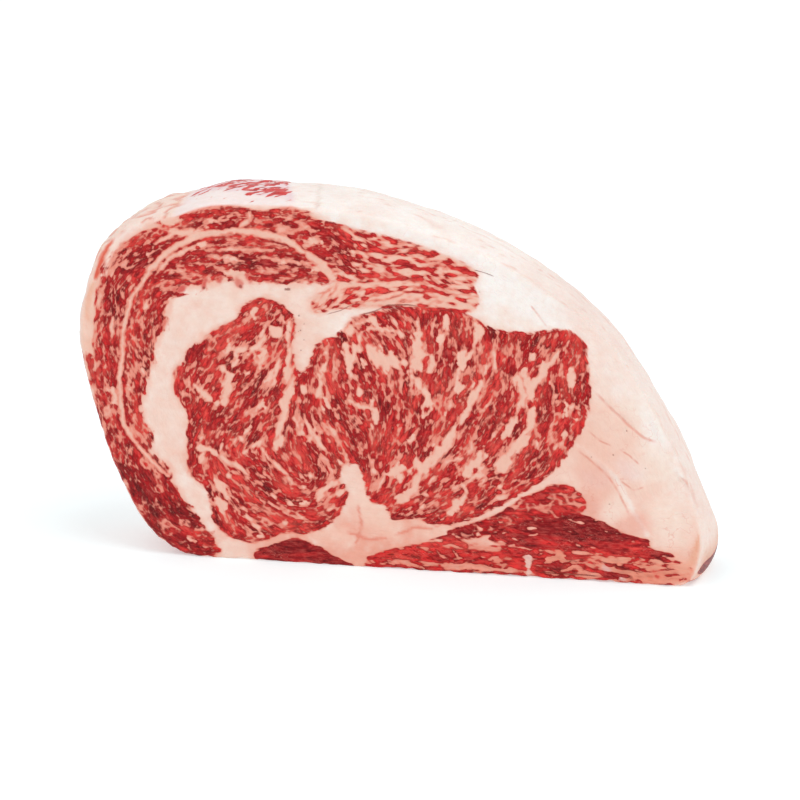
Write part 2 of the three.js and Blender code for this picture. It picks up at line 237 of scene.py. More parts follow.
# Places of the main muscle with hardly any fat: x, z, radii, strength.
LEAN_PATCHES = [
    (-66, 52, 13, 5, 1.3), (-52, 33, 11, 8, .8), (-2, 50, 20, 5, 1.5), (14, 55, 5, 7, 1.2),
    (-45, 27, 9, 8, .9), (8, 96, 6, 3, 1.2), (19, 86, 4, 3.5, 1.2), (-24, 61, 5, 3.5, 1.0),
    (-52, 74, 4, 5, .9), (32, 26, 6, 4.5, 1.3), (52, 38, 6, 5, .9), (66, 84, 5, 5, .9),
    (-35, 42, 8, 6, .8), (40, 58, 5, 6, .5), (62, 64, 6, 8, .6), (-58, 60, 8, 3, .5),
    (-30, 16, 7, 4, .4)]

# Tints, sRGB.
LEAN_EDGE = (187, 24, 28)
LEAN_MID = (219, 46, 45)
LEAN_DEEP = (139, 16, 22)
LEAN_BRIGHT = (233, 91, 77)
VEIN_THIN = (238, 152, 134)
VEIN_THICK = (244, 191, 172)
FAT_WHITE = (253, 240, 234)
FAT_CREAM = (249, 223, 211)
FAT_BEIGE = (246, 206, 190)
FAT_PINK = (240, 172, 152)


def hash2(ix, iy, seed):
    h = (ix * 374761393 + iy * 668265263 + seed * 1442695041) & 0xFFFFFFFF
    h = ((h ^ (h >> 13)) * 1274126177) & 0xFFFFFFFF
    h = (h ^ (h >> 16)) & 0xFFFFFFFF
    return h / 4294967295.0


def gnoise(x, y, seed=0):
    """Gradient noise, about -1 to 1."""
    ix = np.floor(x).astype(np.int64)
    iy = np.floor(y).astype(np.int64)
    fx, fy = x - ix, y - iy
    u = fx * fx * fx * (fx * (fx * 6 - 15) + 10)
    v = fy * fy * fy * (fy * (fy * 6 - 15) + 10)

    def corner(i, j, dx, dy):
        a = hash2(i, j, seed) * (2 * np.pi)
        return np.cos(a) * dx + np.sin(a) * dy

    low = corner(ix, iy, fx, fy) * (1 - u) + corner(ix + 1, iy, fx - 1, fy) * u
    top = corner(ix, iy + 1, fx, fy - 1) * (1 - u) + corner(ix + 1, iy + 1, fx - 1, fy - 1) * u
    return (low * (1 - v) + top * v) * 1.55


def fbm(x, y, seed=0, octaves=4, gain=0.5):
    a, s, t = 1.0, 0.0, 0.0
    for o in range(octaves):
        s = s + a * gnoise(x, y, seed + o * 17)
        t += a
        a *= gain
        x, y = x * 2.03 + 3.1, y * 2.03 - 1.7
    return s / t


def smooth(a, b, x):
    t = np.clip((x - a) / (b - a), 0, 1)
    return t * t * (3 - 2 * t)


def norm(f):
    return (f - f.mean()) / f.std()


def blend(a, b, t):
    """Mixes two colours, or two arrays of colours, by t."""
    t = np.asarray(t)[..., None]
    return np.asarray(a, float) * (1 - t) + np.asarray(b, float) * t


def catmull(points, n):
    """Closed centripetal Catmull-Rom spline, n steps a span."""
    P = np.asarray(points, float)
    N, out = len(P), []
    for i in range(N):
        p0, p1, p2, p3 = P[i - 1], P[i], P[(i + 1) % N], P[(i + 2) % N]
        d0, d1, d2 = (np.sum((a - b) ** 2) ** 0.25 for a, b in ((p0, p1), (p1, p2), (p2, p3)))
        t1 = ((p1 - p0) / d0 - (p2 - p0) / (d0 + d1) + (p2 - p1) / d1) * d1
        t2 = ((p2 - p1) / d1 - (p3 - p1) / (d1 + d2) + (p3 - p2) / d2) * d1
        t = np.linspace(0, 1, n, endpoint=False)[:, None]
        out.append(p1 + t1 * t + (-3 * p1 + 3 * p2 - 2 * t1 - t2) * t * t
                   + (2 * p1 - 2 * p2 + t1 + t2) * t ** 3)
    return np.concatenate(out)


def inside_by(C, X, Z):
    """Distance to a closed outline, positive inside."""
    d2 = np.full(X.shape, 1e9)
    inside = np.zeros(X.shape, bool)
    for (ax, az), (bx, bz) in zip(C, np.roll(C, -1, 0)):
        ex, ez = bx - ax, bz - az
        wx, wz = X - ax, Z - az
        t = np.clip((wx * ex + wz * ez) / max(ex * ex + ez * ez, 1e-9), 0, 1)
        d2 = np.minimum(d2, (wx - ex * t) ** 2 + (wz - ez * t) ** 2)
        c = ((az <= Z) & (bz > Z)) | ((bz <= Z) & (az > Z))
        inside ^= c & (((ex * wz - ez * wx) > 0) == (bz > az))
    return np.where(inside, 1, -1) * np.sqrt(d2)


class Grid:
    """A field's grid over the cut face."""

    def __init__(self, h, box=(-128, 128, -6, 144)):
        self.x0, x1, self.z0, z1 = box
        self.h = h
        self.W = int(round((x1 - self.x0) / h)) + 1
        self.H = int(round((z1 - self.z0) / h)) + 1
        self.X, self.Z = np.meshgrid(self.x0 + np.arange(self.W) * h,
                                     self.z0 + np.arange(self.H) * h)

    def at(self, F, x, z):
        i = np.clip((x - self.x0) / self.h, 0, self.W - 1.001)
        j = np.clip((z - self.z0) / self.h, 0, self.H - 1.001)
        a, b = i.astype(np.int64), j.astype(np.int64)
        u, v = i - a, j - b
        k, f = b * self.W + a, F.ravel()
        return ((f[k] * (1 - u) + f[k + 1] * u) * (1 - v)
                + (f[k + self.W] * (1 - u) + f[k + self.W + 1] * u) * v)


def blur(F, s):
    """Gaussian blur, s in cells."""
    n = max(1, int(3 * s))
    k = np.exp(-0.5 * (np.arange(-n, n + 1) / s) ** 2)
    k /= k.sum()
    P = np.pad(F, ((n, n), (0, 0)), mode="reflect")
    F = sum(k[i] * P[i:i + F.shape[0]] for i in range(2 * n + 1))
    P = np.pad(F, ((0, 0), (n, n)), mode="reflect")
    return sum(k[i] * P[:, i:i + F.shape[1]] for i in range(2 * n + 1))


def comb(g, F, ux, uz, length, step=0.5):
    """Smears F along the grain over about that many millimetres."""
    acc, wt = F.copy(), 1.0
    for sign in (1, -1):
        x, z, vx, vz = g.X, g.Z, ux * sign, uz * sign
        for k in range(1, int(round(2.2 * length / step)) + 1):
            x, z = x + vx * step, z + vz * step
            nx, nz = g.at(ux, x, z), g.at(uz, x, z)
            f = np.where(nx * vx + nz * vz < 0, -1.0, 1.0)
            vx, vz = nx * f, nz * f
            w = np.exp(-0.5 * (k * step / length) ** 2)
            acc = acc + w * g.at(F, x, z)
            wt += w
    return acc / wt


def band(g, ux, uz, rng, across, along):
    """Streaky noise: about `across` wide and `along` long, mean 0 and deviation 1."""
    n = blur(rng.standard_normal(g.X.shape), across / g.h)
    w = blur(n, 2.2 * across / g.h)
    return norm(comb(g, n / n.std() - 0.4 * w / w.std(), ux, uz, along))


def lie(points, X, Z, reach=10.0):
    """Cosine and sine of twice the grain's angle, from its points."""
    c, s = np.zeros(X.shape), np.zeros(X.shape)
    for x, z, a in points:
        r2 = (X - x) ** 2 + (Z - z) ** 2
        k = np.exp(-r2 / (2 * reach * reach)) + 1e-6 / (1 + r2 / 400)
        c += k * np.cos(2 * np.radians(a))
        s += k * np.sin(2 * np.radians(a))
    a = np.arctan2(s, c)
    return np.cos(a), np.sin(a)


def strokes(g, S, wob):
    """Distance outside the nearest streak, negative inside it."""
    D = np.full(g.X.shape, 99.0)
    for s in S:
        w, P = s[0], np.array(s[1:], float).reshape(-1, 2)
        L = np.r_[0, np.cumsum(np.hypot(*np.diff(P, axis=0).T))]
        lo, hi = P.min(0) - 6 - w, P.max(0) + 6 + w
        i0, i1 = max(0, int((lo[0] - g.x0) / g.h)), min(g.W, int((hi[0] - g.x0) / g.h) + 2)
        j0, j1 = max(0, int((lo[1] - g.z0) / g.h)), min(g.H, int((hi[1] - g.z0) / g.h) + 2)
        if i1 <= i0 or j1 <= j0:
            continue
        X = g.X[j0:j1, i0:i1] + wob[0][j0:j1, i0:i1]
        Z = g.Z[j0:j1, i0:i1] + wob[1][j0:j1, i0:i1]
        best = np.full(X.shape, 99.0)
        for k in range(len(P) - 1):
            ex, ez = P[k + 1] - P[k]
            l2 = ex * ex + ez * ez
            t = np.clip(((X - P[k, 0]) * ex + (Z - P[k, 1]) * ez) / l2, 0, 1)
            u = (L[k] + t * np.sqrt(l2)) / L[-1]
            hw = w * (0.55 + 0.45 * np.sqrt(np.clip(1 - (2 * u - 1) ** 4, 0, 1)))
            best = np.minimum(best, np.hypot(X - P[k, 0] - t * ex, Z - P[k, 1] - t * ez) - hw)
        D[j0:j1, i0:i1] = np.minimum(D[j0:j1, i0:i1], best)
    return D


def bundles(g, ux, uz, rng, area, aspect, keep, warp, spread=0.28):
    """Muscle fibre bundles cut across: cells drawn out along the grain.

    Gives, at each point of the grid, the distance to the middle of its own
    bundle and of the next one (mm across the grain), the bundle's number, and
    the middles.
    """
    h, s = g.h, math.sqrt(area)
    x1, z1 = g.x0 + (g.W - 1) * h, g.z0 + (g.H - 1) * h
    SX, SZ = np.meshgrid(np.arange(g.x0, x1, s), np.arange(g.z0, z1, s))
    SX = SX + (np.arange(SX.shape[0]) % 2)[:, None] * s / 2
    SX = (SX + rng.uniform(-.5, .5, SX.shape) * s).ravel()
    SZ = (SZ + rng.uniform(-.5, .5, SZ.shape) * s).ravel()
    ok = keep(SX, SZ)
    SX, SZ = SX[ok], SZ[ok]
    n = len(SX)
    F1 = np.full(g.X.shape, 9.0, np.float32)
    F2 = F1.copy()
    ID = np.zeros(g.X.shape, np.int32)
    GX, GZ = (g.X + warp[0]).astype(np.float32), (g.Z + warp[1]).astype(np.float32)
    A = aspect * np.exp(rng.normal(0, 0.22, n))
    Q = np.exp(rng.normal(0, spread, n))
    a = 0.5 * np.arctan2(g.at(2 * ux * uz, SX, SZ), g.at(ux * ux - uz * uz, SX, SZ))
    a = a + rng.normal(0, 0.2, n)
    AX, AZ = np.cos(a), np.sin(a)
    for k in range(n):
        x, z, ax, az, asp, size = SX[k], SZ[k], AX[k], AZ[k], A[k], Q[k]
        i, j = int((x - g.x0) / h), int((z - g.z0) / h)
        r = int(s * 2.1 * math.sqrt(asp) / h) + 1
        i0, i1, j0, j1 = max(0, i - r), min(g.W, i + r + 1), max(0, j - r), min(g.H, j + r + 1)
        if i1 <= i0 or j1 <= j0:
            continue
        dx, dz = GX[j0:j1, i0:i1] - x, GZ[j0:j1, i0:i1] - z
        u, v = dx * (ax / asp) + dz * (az / asp), dz * ax - dx * az
        d = np.sqrt(u * u + v * v) / size
        f1, f2 = F1[j0:j1, i0:i1], F2[j0:j1, i0:i1]
        near = d < f1
        F2[j0:j1, i0:i1] = np.where(near, f1, np.minimum(f2, d))
        ID[j0:j1, i0:i1][near] = k
        F1[j0:j1, i0:i1] = np.where(near, d, f1)
    return F1, F2, ID, SX, SZ


def flakes(g, C, field, uneven, rng, drop, t_thin, t_wide, r_small, r_full, jitter=0.35):
    """Depth inside lean flakes. A bundle is lean where the field at its middle
    is high, shrinks to a spindle as the field falls, and is fat below `drop`."""
    F1, F2, ID, SX, SZ = C
    r = rng.normal(0, 1, len(SX))
    q = g.at(field, SX, SZ) + jitter * r
    k = smooth(drop, drop + 1.5, q)
    t = t_wide + (t_thin - t_wide) * k
    R = r_small + (r_full - r_small) * k ** 1.4
    gone = smooth(drop + 0.1, drop - 0.15, q)
    gap = 0.5 * (F2 - F1)
    m = np.minimum(gap - t[ID] - 0.10 * uneven, (R[ID] - F1) * 0.8) - 1.3 * gone[ID]
    # painted shade: where two lean bundles touch with no fat between them, a mask that later darkens the lean as the
    # shade of the seam
    crease_shade = smooth(0.16, 0.02, gap) * (m > -0.05)
    return m, r[ID], crease_shade


def cut_face(h, seed, wide=1.0):
    """Everything that the marbling of one cut face needs, on a grid.

    `lean` is how deep a point lies in lean meat (mm, negative in fat), `red`
    and `fat` the tints of both, `lines` where hair-fine fat shows in the
    lean, and `gx`, `gz` the grain."""
    g, g1, g2 = Grid(h), Grid(1.0), Grid(max(h, 0.5))
    X, Z = g.X, g.Z
    rng = np.random.default_rng(seed)

    def up(F):
        return g1.at(F, X, Z)

    SD = {k: up(inside_by(catmull(P, 5), g1.X, g1.Z)) for k, P in MUSCLES.items()}
    SD["OUT"] = up(inside_by(catmull(STATIONS, 12), g1.X, g1.Z))

    # the grain: along the rim in the outer muscle, by its points elsewhere
    O = blur(inside_by(catmull(STATIONS, 12), g1.X, g1.Z), 3.0)
    oz, ox = np.gradient(O)
    tang = np.arctan2(ox, -oz)
    c, s = up(np.cos(2 * tang)), up(np.sin(2 * tang))
    eye = smooth(-1.0, 1.0, SD["EYE"])
    top = smooth(-2, 2, SD["STREAK"])
    low = smooth(24, 18, Z - 0.18 * (X - 40)) * smooth(-20, 0, X) * (1 - eye)
    flat = math.radians(2 * 174.0)
    c, s = c * (1 - low) + math.cos(flat) * low, s * (1 - low) + math.sin(flat) * low
    tc, ts = lie(GRAIN_TOP, g1.X, g1.Z)
    c, s = c * (1 - top) + up(tc) * top, s * (1 - top) + up(ts) * top
    ec, es = lie(GRAIN, g1.X, g1.Z)
    c, s = c * (1 - eye) + up(ec) * eye, s * (1 - eye) + up(es) * eye
    a = 0.5 * np.arctan2(s, c) + 0.30 * fbm(X * 0.12, Z * 0.12, seed + 9, 2) \
        + 0.20 * gnoise(X * 0.4, Z * 0.4, seed + 10)
    ux, uz = np.cos(a), np.sin(a)
    a2 = 0.5 * np.arctan2(g.at(np.sin(2 * a), g2.X, g2.Z), g.at(np.cos(2 * a), g2.X, g2.Z))
    vx, vz = np.cos(a2), np.sin(a2)

    # waviness, and streaky noise at several sizes
    wx = fbm(X * 0.11, Z * 0.11, seed + 1, 3) * 0.5 + gnoise(X * 0.55, Z * 0.55, seed + 31) * 0.42 \
        + gnoise(X * 1.7, Z * 1.7, seed + 33) * 0.16
    wz = fbm(X * 0.11, Z * 0.11, seed + 2, 3) * 0.5 + gnoise(X * 0.55, Z * 0.55, seed + 32) * 0.42 \
        + gnoise(X * 1.7, Z * 1.7, seed + 34) * 0.16

    def wide_band(across, along):
        return g2.at(band(g2, vx, vz, rng, across * wide, along * wide), X, Z)

    clump = wide_band(0.95, 2.4)
    ribbon = wide_band(0.8, 3.4)
    patch = wide_band(2.2, 4.0)
    mid = wide_band(0.5, 1.4)
    fine = norm(comb(g, blur(rng.standard_normal(X.shape), 0.24 / h), ux, uz, 0.8))

    # main muscle
    S = strokes(g, STREAKS, (wx, wz))
    bias = np.zeros(X.shape)
    for x, z, rx, rz, b in LEAN_PATCHES:
        bias += b * np.exp(-(((X - x) / rx) ** 2 + ((Z - z) / rz) ** 2))
    field = 0.34 * clump + 0.12 * patch + 0.8 * bias + 1.20 - 1.6 * smooth(0.4, -0.5, S)
    within = lambda x, z: g.at(SD["EYE"], x, z) > -0.6
    C = bundles(g, ux, uz, rng, 11.0 * wide ** 2, 2.2, within, (1.4 * wx, 1.4 * wz), 0.32)
    big, rbig, _ = flakes(g, C, field, clump, rng, -0.55, 0.24, 0.56, 1.0, 1.7, 0.45)
    C = bundles(g, ux, uz, rng, 3.4 * wide ** 2, 2.8, within, (wx, wz))
    inner = 1.25 * np.clip(big, -1.4, 0.6) + 0.34 * clump + 0.46
    meye, reye, eye_crease_shade = flakes(g, C, inner, clump, rng, -0.60, -0.05, 0.20, 0.7, 1.6, 0.30)
    meye = np.minimum(0.75 * meye + 0.23, big + 0.09 + 0.10 * clump) + 0.07 * clump + 0.05 * mid
    reye = 0.6 * reye + 0.75 * rbig
    meye = np.minimum(meye, 0.8 * S + 0.30 * mid + 0.16)
    meye = np.minimum(meye, SD["EYE"] * 0.9 + 0.25 * mid + 0.7)
    edge = 0.28 - np.abs(SD["EYE"] - 0.5 - 0.2 * mid) * 0.6
    meye = np.maximum(meye, edge - 0.5 * smooth(0.2, -0.6, ribbon + clump))

    # outer muscle
    S2 = strokes(g, SEAMS, (wx, wz))
    solid = smooth(48, 22, Z) * smooth(-60, -76, X)       # the close-grained lower left end
    field = 0.48 * ribbon + 0.22 * patch + 1.10 + 0.35 * solid - 0.8 * smooth(0.3, -0.5, S2)
    within = lambda x, z: g.at(SD["CAP"], x, z) > -3.0
    C = bundles(g, ux, uz, rng, 8.0 * wide ** 2, 2.1, within, (1.4 * wx, 1.4 * wz), 0.32)
    big, rbig, _ = flakes(g, C, field, clump, rng, -0.42, 0.20, 0.52, 0.9, 1.5, 0.5)
    C = bundles(g, ux, uz, rng, 2.6 * wide ** 2, 2.5, within, (wx, wz))
    inner = 1.25 * np.clip(big, -1.4, 0.6) + 0.34 * clump + 0.44
    mcap, rcap, cap_crease_shade = flakes(g, C, inner, clump, rng, -0.60, -0.02, 0.17, 0.6, 1.4, 0.30)
    mcap = np.minimum(0.75 * mcap + 0.20, big + 0.08 + 0.10 * clump) + 0.07 * clump + 0.05 * mid + 0.08 * solid
    rcap = 0.6 * rcap + 0.75 * rbig
    line = 0.30 - np.abs(S2 - 0.45 - 0.2 * mid) * 0.8
    mcap = np.maximum(mcap, line - 0.7 * smooth(0.1, -0.7, ribbon))
    mcap = np.minimum(mcap, 0.8 * S2 + 0.12 * mid)
    spiky = 1.5 * gnoise(X * 0.26, Z * 0.26, seed + 61) + 0.8 * gnoise(X * 0.62, Z * 0.62, seed + 62)
    spiky = spiky * smooth(8, 13, SD["OUT"])
    mcap = np.minimum(mcap, SD["CAP"] * 0.6 + 0.4 * clump + 0.3 * mid + 0.25 + 1.0 * spiky)

    # streaky muscle at the top, and the small ones along the lower edge
    S3 = np.minimum(strokes(g, TOPFAT, (wx, wz)), S2)
    mtop = 0.46 * norm(0.5 * ribbon + 0.8 * mid + 0.65 * fine) - 0.07 - 0.40 * smooth(112, 105, Z)
    hatch = norm(fine + 0.8 * mid) * 0.42 - 0.48 + 0.25 * smooth(-0.5, 1.0, patch)
    mtop = np.minimum(mtop, S3 * 0.9 + 0.35 * mid + 0.25)
    mtop = np.maximum(mtop, hatch - 0.8 * smooth(118, 122, Z))
    mtop = np.minimum(mtop, SD["STREAK"] * 0.8 + 0.3 * mid + 0.2)
    C = bundles(g, ux, uz, rng, 9.0, 1.7, lambda x, z: g.at(SD["LOBE"], x, z) > -1, (wx, wz))
    mlobe, _, _ = flakes(g, C, 0.4 * patch + 1.4, clump, rng, -0.6, 0.11, 0.30, 1.0, 3.0)
    S4 = strokes(g, LOWFAT, (wx, wz))
    mlobe = np.minimum(mlobe + 0.05 * fine, SD["LOBE"] + 0.2 * mid + 0.2)
    mdark = 0.5 * norm(0.7 * ribbon + 0.8 * mid + 0.6 * fine) + 0.84
    mdark = np.minimum(mdark, SD["DARK"] + 0.25 * mid + 0.2)
    mstrip = 0.42 * norm(0.8 * ribbon + 0.25 * patch + 0.8 * mid + 0.4 * fine) + 0.44 - 0.62 * smooth(62, 86, X) * smooth(9.5, 7.5, Z)
    mstrip = np.minimum(mstrip, SD["BSTRIP"] + 0.3 * mid + 0.2)
    mleft = np.minimum(1.0 + 0.35 * mid, SD["BLEFT"] + 0.25 * mid + 0.2)
    low4 = S4 * 0.9 + 0.32 * mid + 0.22 * clump + 0.20
    lean = np.maximum.reduce([meye, mcap, mtop, np.minimum(mlobe, low4), np.minimum(mdark, low4 + 0.3),
                              np.minimum(mstrip, low4), mleft])
    feather = np.ones(X.shape) * (0.85 + 0.25 * smooth(-1, 1, patch)) * (1 - 0.3 * solid)
    feather = feather * (1 - 0.6 * smooth(1.3, 0.3, S2) * smooth(-1, 0, SD["CAP"]))
    for k, v in (("LOBE", 0.42), ("DARK", 0.8), ("STREAK", 1.15), ("BSTRIP", 1.2)):
        feather = feather * (1 + (v - 1) * smooth(-0.5, 0.5, SD[k]))

    # tint of the lean
    r = np.where(SD["EYE"] > SD["CAP"], reye, rcap)
    broad = fbm(X * 0.06, Z * 0.06, seed + 77, 2)
    tone = 0.45 + 0.13 * r + 0.12 * mid + 0.13 * patch + 0.22 * broad + 0.12 * bias
    incap = smooth(-1, 1, SD["CAP"])
    tone = tone + 0.30 * solid * incap + incap * (0.14 - 0.48 * smooth(9, 2, SD["OUT"]) * smooth(-100, -60, X))
    tone = tone + (0.33 + 0.26 * smooth(13, 19, Z)) * smooth(-1, 0.5, SD["DARK"]) + 0.03 * smooth(-1, 0.5, SD["BSTRIP"]) + 0.48 * smooth(-1, 0.5, SD["BLEFT"]) \
        + 0.10 * smooth(-1, 0.5, SD["LOBE"])
    # painted shade: the lean darker along the seams where two flakes touch
    crease_shade = np.where(SD["EYE"] > SD["CAP"], eye_crease_shade, cap_crease_shade)
    tone = tone + 0.30 * crease_shade * smooth(-0.6, 0.8, mid + patch)
    depth = smooth(0.0, 0.4, lean)
    brim = blend((210, 62, 54), LEAN_EDGE, smooth(-0.30, 0.25, 1.2 * (tone - 0.5) + 0.25 * patch))
    red = blend(brim, LEAN_MID, depth)
    red = blend(red, LEAN_DEEP, np.clip((tone - 0.5) * 1.7, 0, 1) * (0.55 + 0.45 * depth))
    red = blend(red, LEAN_BRIGHT, np.clip((0.44 - tone) * 2.6, 0, 1) * (0.30 + 0.60 * depth))
    red = red * (1 + 0.05 * fine[..., None])

    # tint of the fat
    muscle = np.maximum.reduce([SD[k] for k in MUSCLES])
    vein = blend(VEIN_THIN, VEIN_THICK, smooth(0.0, 0.75, -lean))
    lumps = fbm(X * 0.055, Z * 0.055, seed + 55, 3)
    mottle = fbm(X * 0.19, Z * 0.19, seed + 56, 3)
    left = smooth(-20, -35, X)
    white = smooth(42, 92, Z + 0.12 * X) * 0.5 + smooth(92, 118, Z + 0.12 * X) * 0.5
    white = white * (1 - left) + 0.36 * left
    # painted light: the front's fat whiter within some 15 mm of the upper right rim, where it meets the brightly lit
    # side
    white = white + 0.55 * smooth(15, 3, SD["OUT"]) * smooth(20, 50, X) * smooth(12, 40, Z)
    white = np.clip(white + 0.34 * lumps + 0.40 * mottle, 0, 1)
    out = blend(FAT_BEIGE, FAT_CREAM, np.clip(white * 2, 0, 1))
    out = blend(out, FAT_WHITE, np.clip(white * 2 - 1, 0, 1))
    pink = (0.80 - 0.9 * mottle - 0.5 * lumps) * smooth(26, 12, Z) * smooth(70, 20, X) * smooth(-60, -40, X)
    near = smooth(3.2, 0.4, -muscle + 2.4 * mottle)
    pink = pink + near * (0.26 + 0.22 * left + 0.30 * mottle) + 0.10 * left * (1 - 0.7 * smooth(95, 110, Z) * (1 - left))
    pink = pink + 0.35 * smooth(0.1, 0.7, mottle + 0.5 * lumps) * smooth(70, 30, Z) * smooth(60, 75, X)
    out = blend(out, FAT_PINK, np.clip(pink, 0, 0.95))
    fat = blend(out, vein, smooth(-1.2, 0.4, muscle))
    fat = blend(fat, (236, 142, 120), smooth(-1.0, 0.5, SD["BSTRIP"]) * (0.55 + 0.3 * mottle))
    if wide == 1.0:
        # the tinted marks, and the painted highlights on the fold ridges, laid onto the fat
        for tint, half, *pts in FAT_TINTS_AND_RIDGE_HIGHLIGHTS:
            d = strokes(g, [(half, *pts)], (wx * 0.7, wz * 0.7)) + 0.12 * mid
            soft = half > 2.1
            fat = blend(fat, tint, (0.55 if soft else 0.85)
                        * smooth(1.6 * half if soft else 0.4 + 0.3 * half, -0.5 * half, d))

    lines = smooth(0.1, 0.5, lean) * (0.35 + 0.65 * smooth(-0.4, 0.8, clump - patch * 0.5))
    F = dict(lean=blur(lean, 0.2 / h) if h < 0.3 else lean, red=red, fat=fat, lines=lines,
             gc=ux * ux - uz * uz, gs=2 * ux * uz, muscle=muscle, feather=feather, mid=mid, patch=patch, S=S,
             fine=fine)
    for k in SD:
        F[k] = SD[k]
    return g, F


# === scene ===================================================================
MM = 0.001
AROUND = 560        # steps round the outline
FINE = 0.47         # spacing of the skin's points over marbled meat, front (twice that over plain fat)
BACK_STEP = 1.5     # the same on the back, which carries larger flakes


def rim_of(n):
    """n even steps round the outline: place, outward normal and distance along."""
    C = catmull(STATIONS, 60)
    L = np.r_[0, np.cumsum(np.hypot(*np.diff(np.vstack([C, C[:1]]), axis=0).T))]
    CC = np.vstack([C, C[:1]])

    def pick(s):
        s = s % L[-1]
        return np.stack([np.interp(s, L, CC[:, 0]), np.interp(s, L, CC[:, 1])], 1)

    m = 132
    s = np.arange(m) * L[-1] / m
    T = pick(s + 0.05) - pick(s - 0.05)
    T /= np.hypot(T[:, 0], T[:, 1])[:, None]
    N = np.stack([-T[:, 1], T[:, 0]], 1)
    for _ in range(3):
        N = np.roll(N, 1, 0) + 2 * N + np.roll(N, -1, 0)
        N /= np.hypot(N[:, 0], N[:, 1])[:, None]
    base = pick(s)
    s = np.arange(n) * L[-1] / n
    k = s / L[-1] * m
    i, f = k.astype(int), (k % 1)[:, None]
    Nn = N[i] * (1 - f) + N[(i + 1) % m] * f
    Nn /= np.hypot(Nn[:, 0], Nn[:, 1])[:, None]
    return pick(s), Nn, s, L[-1], base, N


def side_out(nx, nz, x, z, v):
    """How far the side stands out from the outline at depth v, -1 front and 1 back."""
    facing = np.degrees(np.arctan2(nz, nx))
    taper = CAP_TAPER * (1 - smooth(0, CAP_TAPER_SPREAD * 1.6, np.abs(facing - CAP_TAPER_AT)))
    tail = smooth(0.35, 1, nx) * (1 - smooth(14, 42, z))
    bulge = SIDE_BULGE + (TAIL_BULGE - SIDE_BULGE) * tail
    rise = CREST_RISE * np.exp(-((x - CREST_AT) / CREST_SPREAD) ** 2) * smooth(0.3, 0.8, nz)
    return bulge * (1 - v * v) - taper * ((v + 1) / 2) ** 1.3 + rise * (v + 1) / 2


P0, N0, ARC, GIRTH, CAD_P, CAD_N = rim_of(AROUND)


def cad_shift():
    """The CAD part stands with its middle over the origin: how far that moved it in X."""
    xs = []
    for y in np.linspace(-HALF + CAD_RIM_FRONT, HALF - RIM_BACK, 10):
        out = side_out(CAD_N[:, 0], CAD_N[:, 1], CAD_P[:, 0], CAD_P[:, 1], y / HALF)
        xs.append(CAD_P[:, 0] + CAD_N[:, 0] * out)
    xs = np.concatenate(xs)
    return -(xs.min() + xs.max()) / 2


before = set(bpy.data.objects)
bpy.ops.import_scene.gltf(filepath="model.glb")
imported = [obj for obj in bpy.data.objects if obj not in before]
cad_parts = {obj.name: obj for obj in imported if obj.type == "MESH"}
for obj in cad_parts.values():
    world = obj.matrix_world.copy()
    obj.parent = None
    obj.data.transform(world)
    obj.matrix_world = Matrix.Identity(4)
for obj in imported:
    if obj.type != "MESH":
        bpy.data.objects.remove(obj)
cad_low, cad_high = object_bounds()
SHIFT = cad_shift()

gf, F = cut_face(0.25, 5)
gb, B = cut_face(0.5, 41, 1.35)


# --- relief of the cut faces: how far the skin stands out of its plane --------
def groove(x, z, pts, width, depth):
    """A crease (or, with negative depth, a ridge) along a line of points."""
    P = np.asarray(pts, float)
    best = np.full(x.shape, 99.0)
    for (ax, az), (bx, bz) in zip(P[:-1], P[1:]):
        ex, ez = bx - ax, bz - az
        t = np.clip(((x - ax) * ex + (z - az) * ez) / (ex * ex + ez * ez), 0, 1)
        best = np.minimum(best, np.hypot(x - ax - t * ex, z - az - t * ez))
    d = np.hypot(x - P[:, 0].mean(), z - P[:, 1].mean())
    reach = np.hypot(*(P[-1] - P[0])) / 2 + 1e-6
    return -depth * np.exp(-(best / width) ** 2) * smooth(1.15 * reach, 0.55 * reach, d)


CREASES = [
    ([(79.3, 69.9), (87.8, 63.0), (96.6, 56.5)], 1.0, 0.45),
    ([(75.8, 48.9), (83.1, 43.2), (88.5, 38.6), (92.6, 30.9), (96.5, 23.7), (98.6, 18.3)], 0.9, -0.40),
    ([(77.5, 46.0), (84.5, 40.5), (89.8, 36.0), (94.0, 28.5)], 1.1, 0.30),
    ([(100.2, 63.7), (101.8, 58.8), (103.3, 54.4)], 0.9, -0.45),
    ([(98.6, 62.7), (100.2, 57.8), (101.7, 53.4)], 0.8, 0.35),
    ([(108.8, 44.4), (112.7, 40.3), (116.2, 35.5)], 0.9, -0.50),
    ([(107.6, 43.2), (111.5, 39.1), (115.0, 34.3)], 0.9, 0.40),
    ([(32.1, 116.9), (41.7, 113.5)], 0.6, 0.25),
    ([(65.6, 112.4), (75.9, 106.4), (84.6, 99.9)], 1.4, 0.30),
    ([(-104.7, 73.9), (-105.0, 59.6), (-106.0, 47.6)], 0.8, -0.35),
]


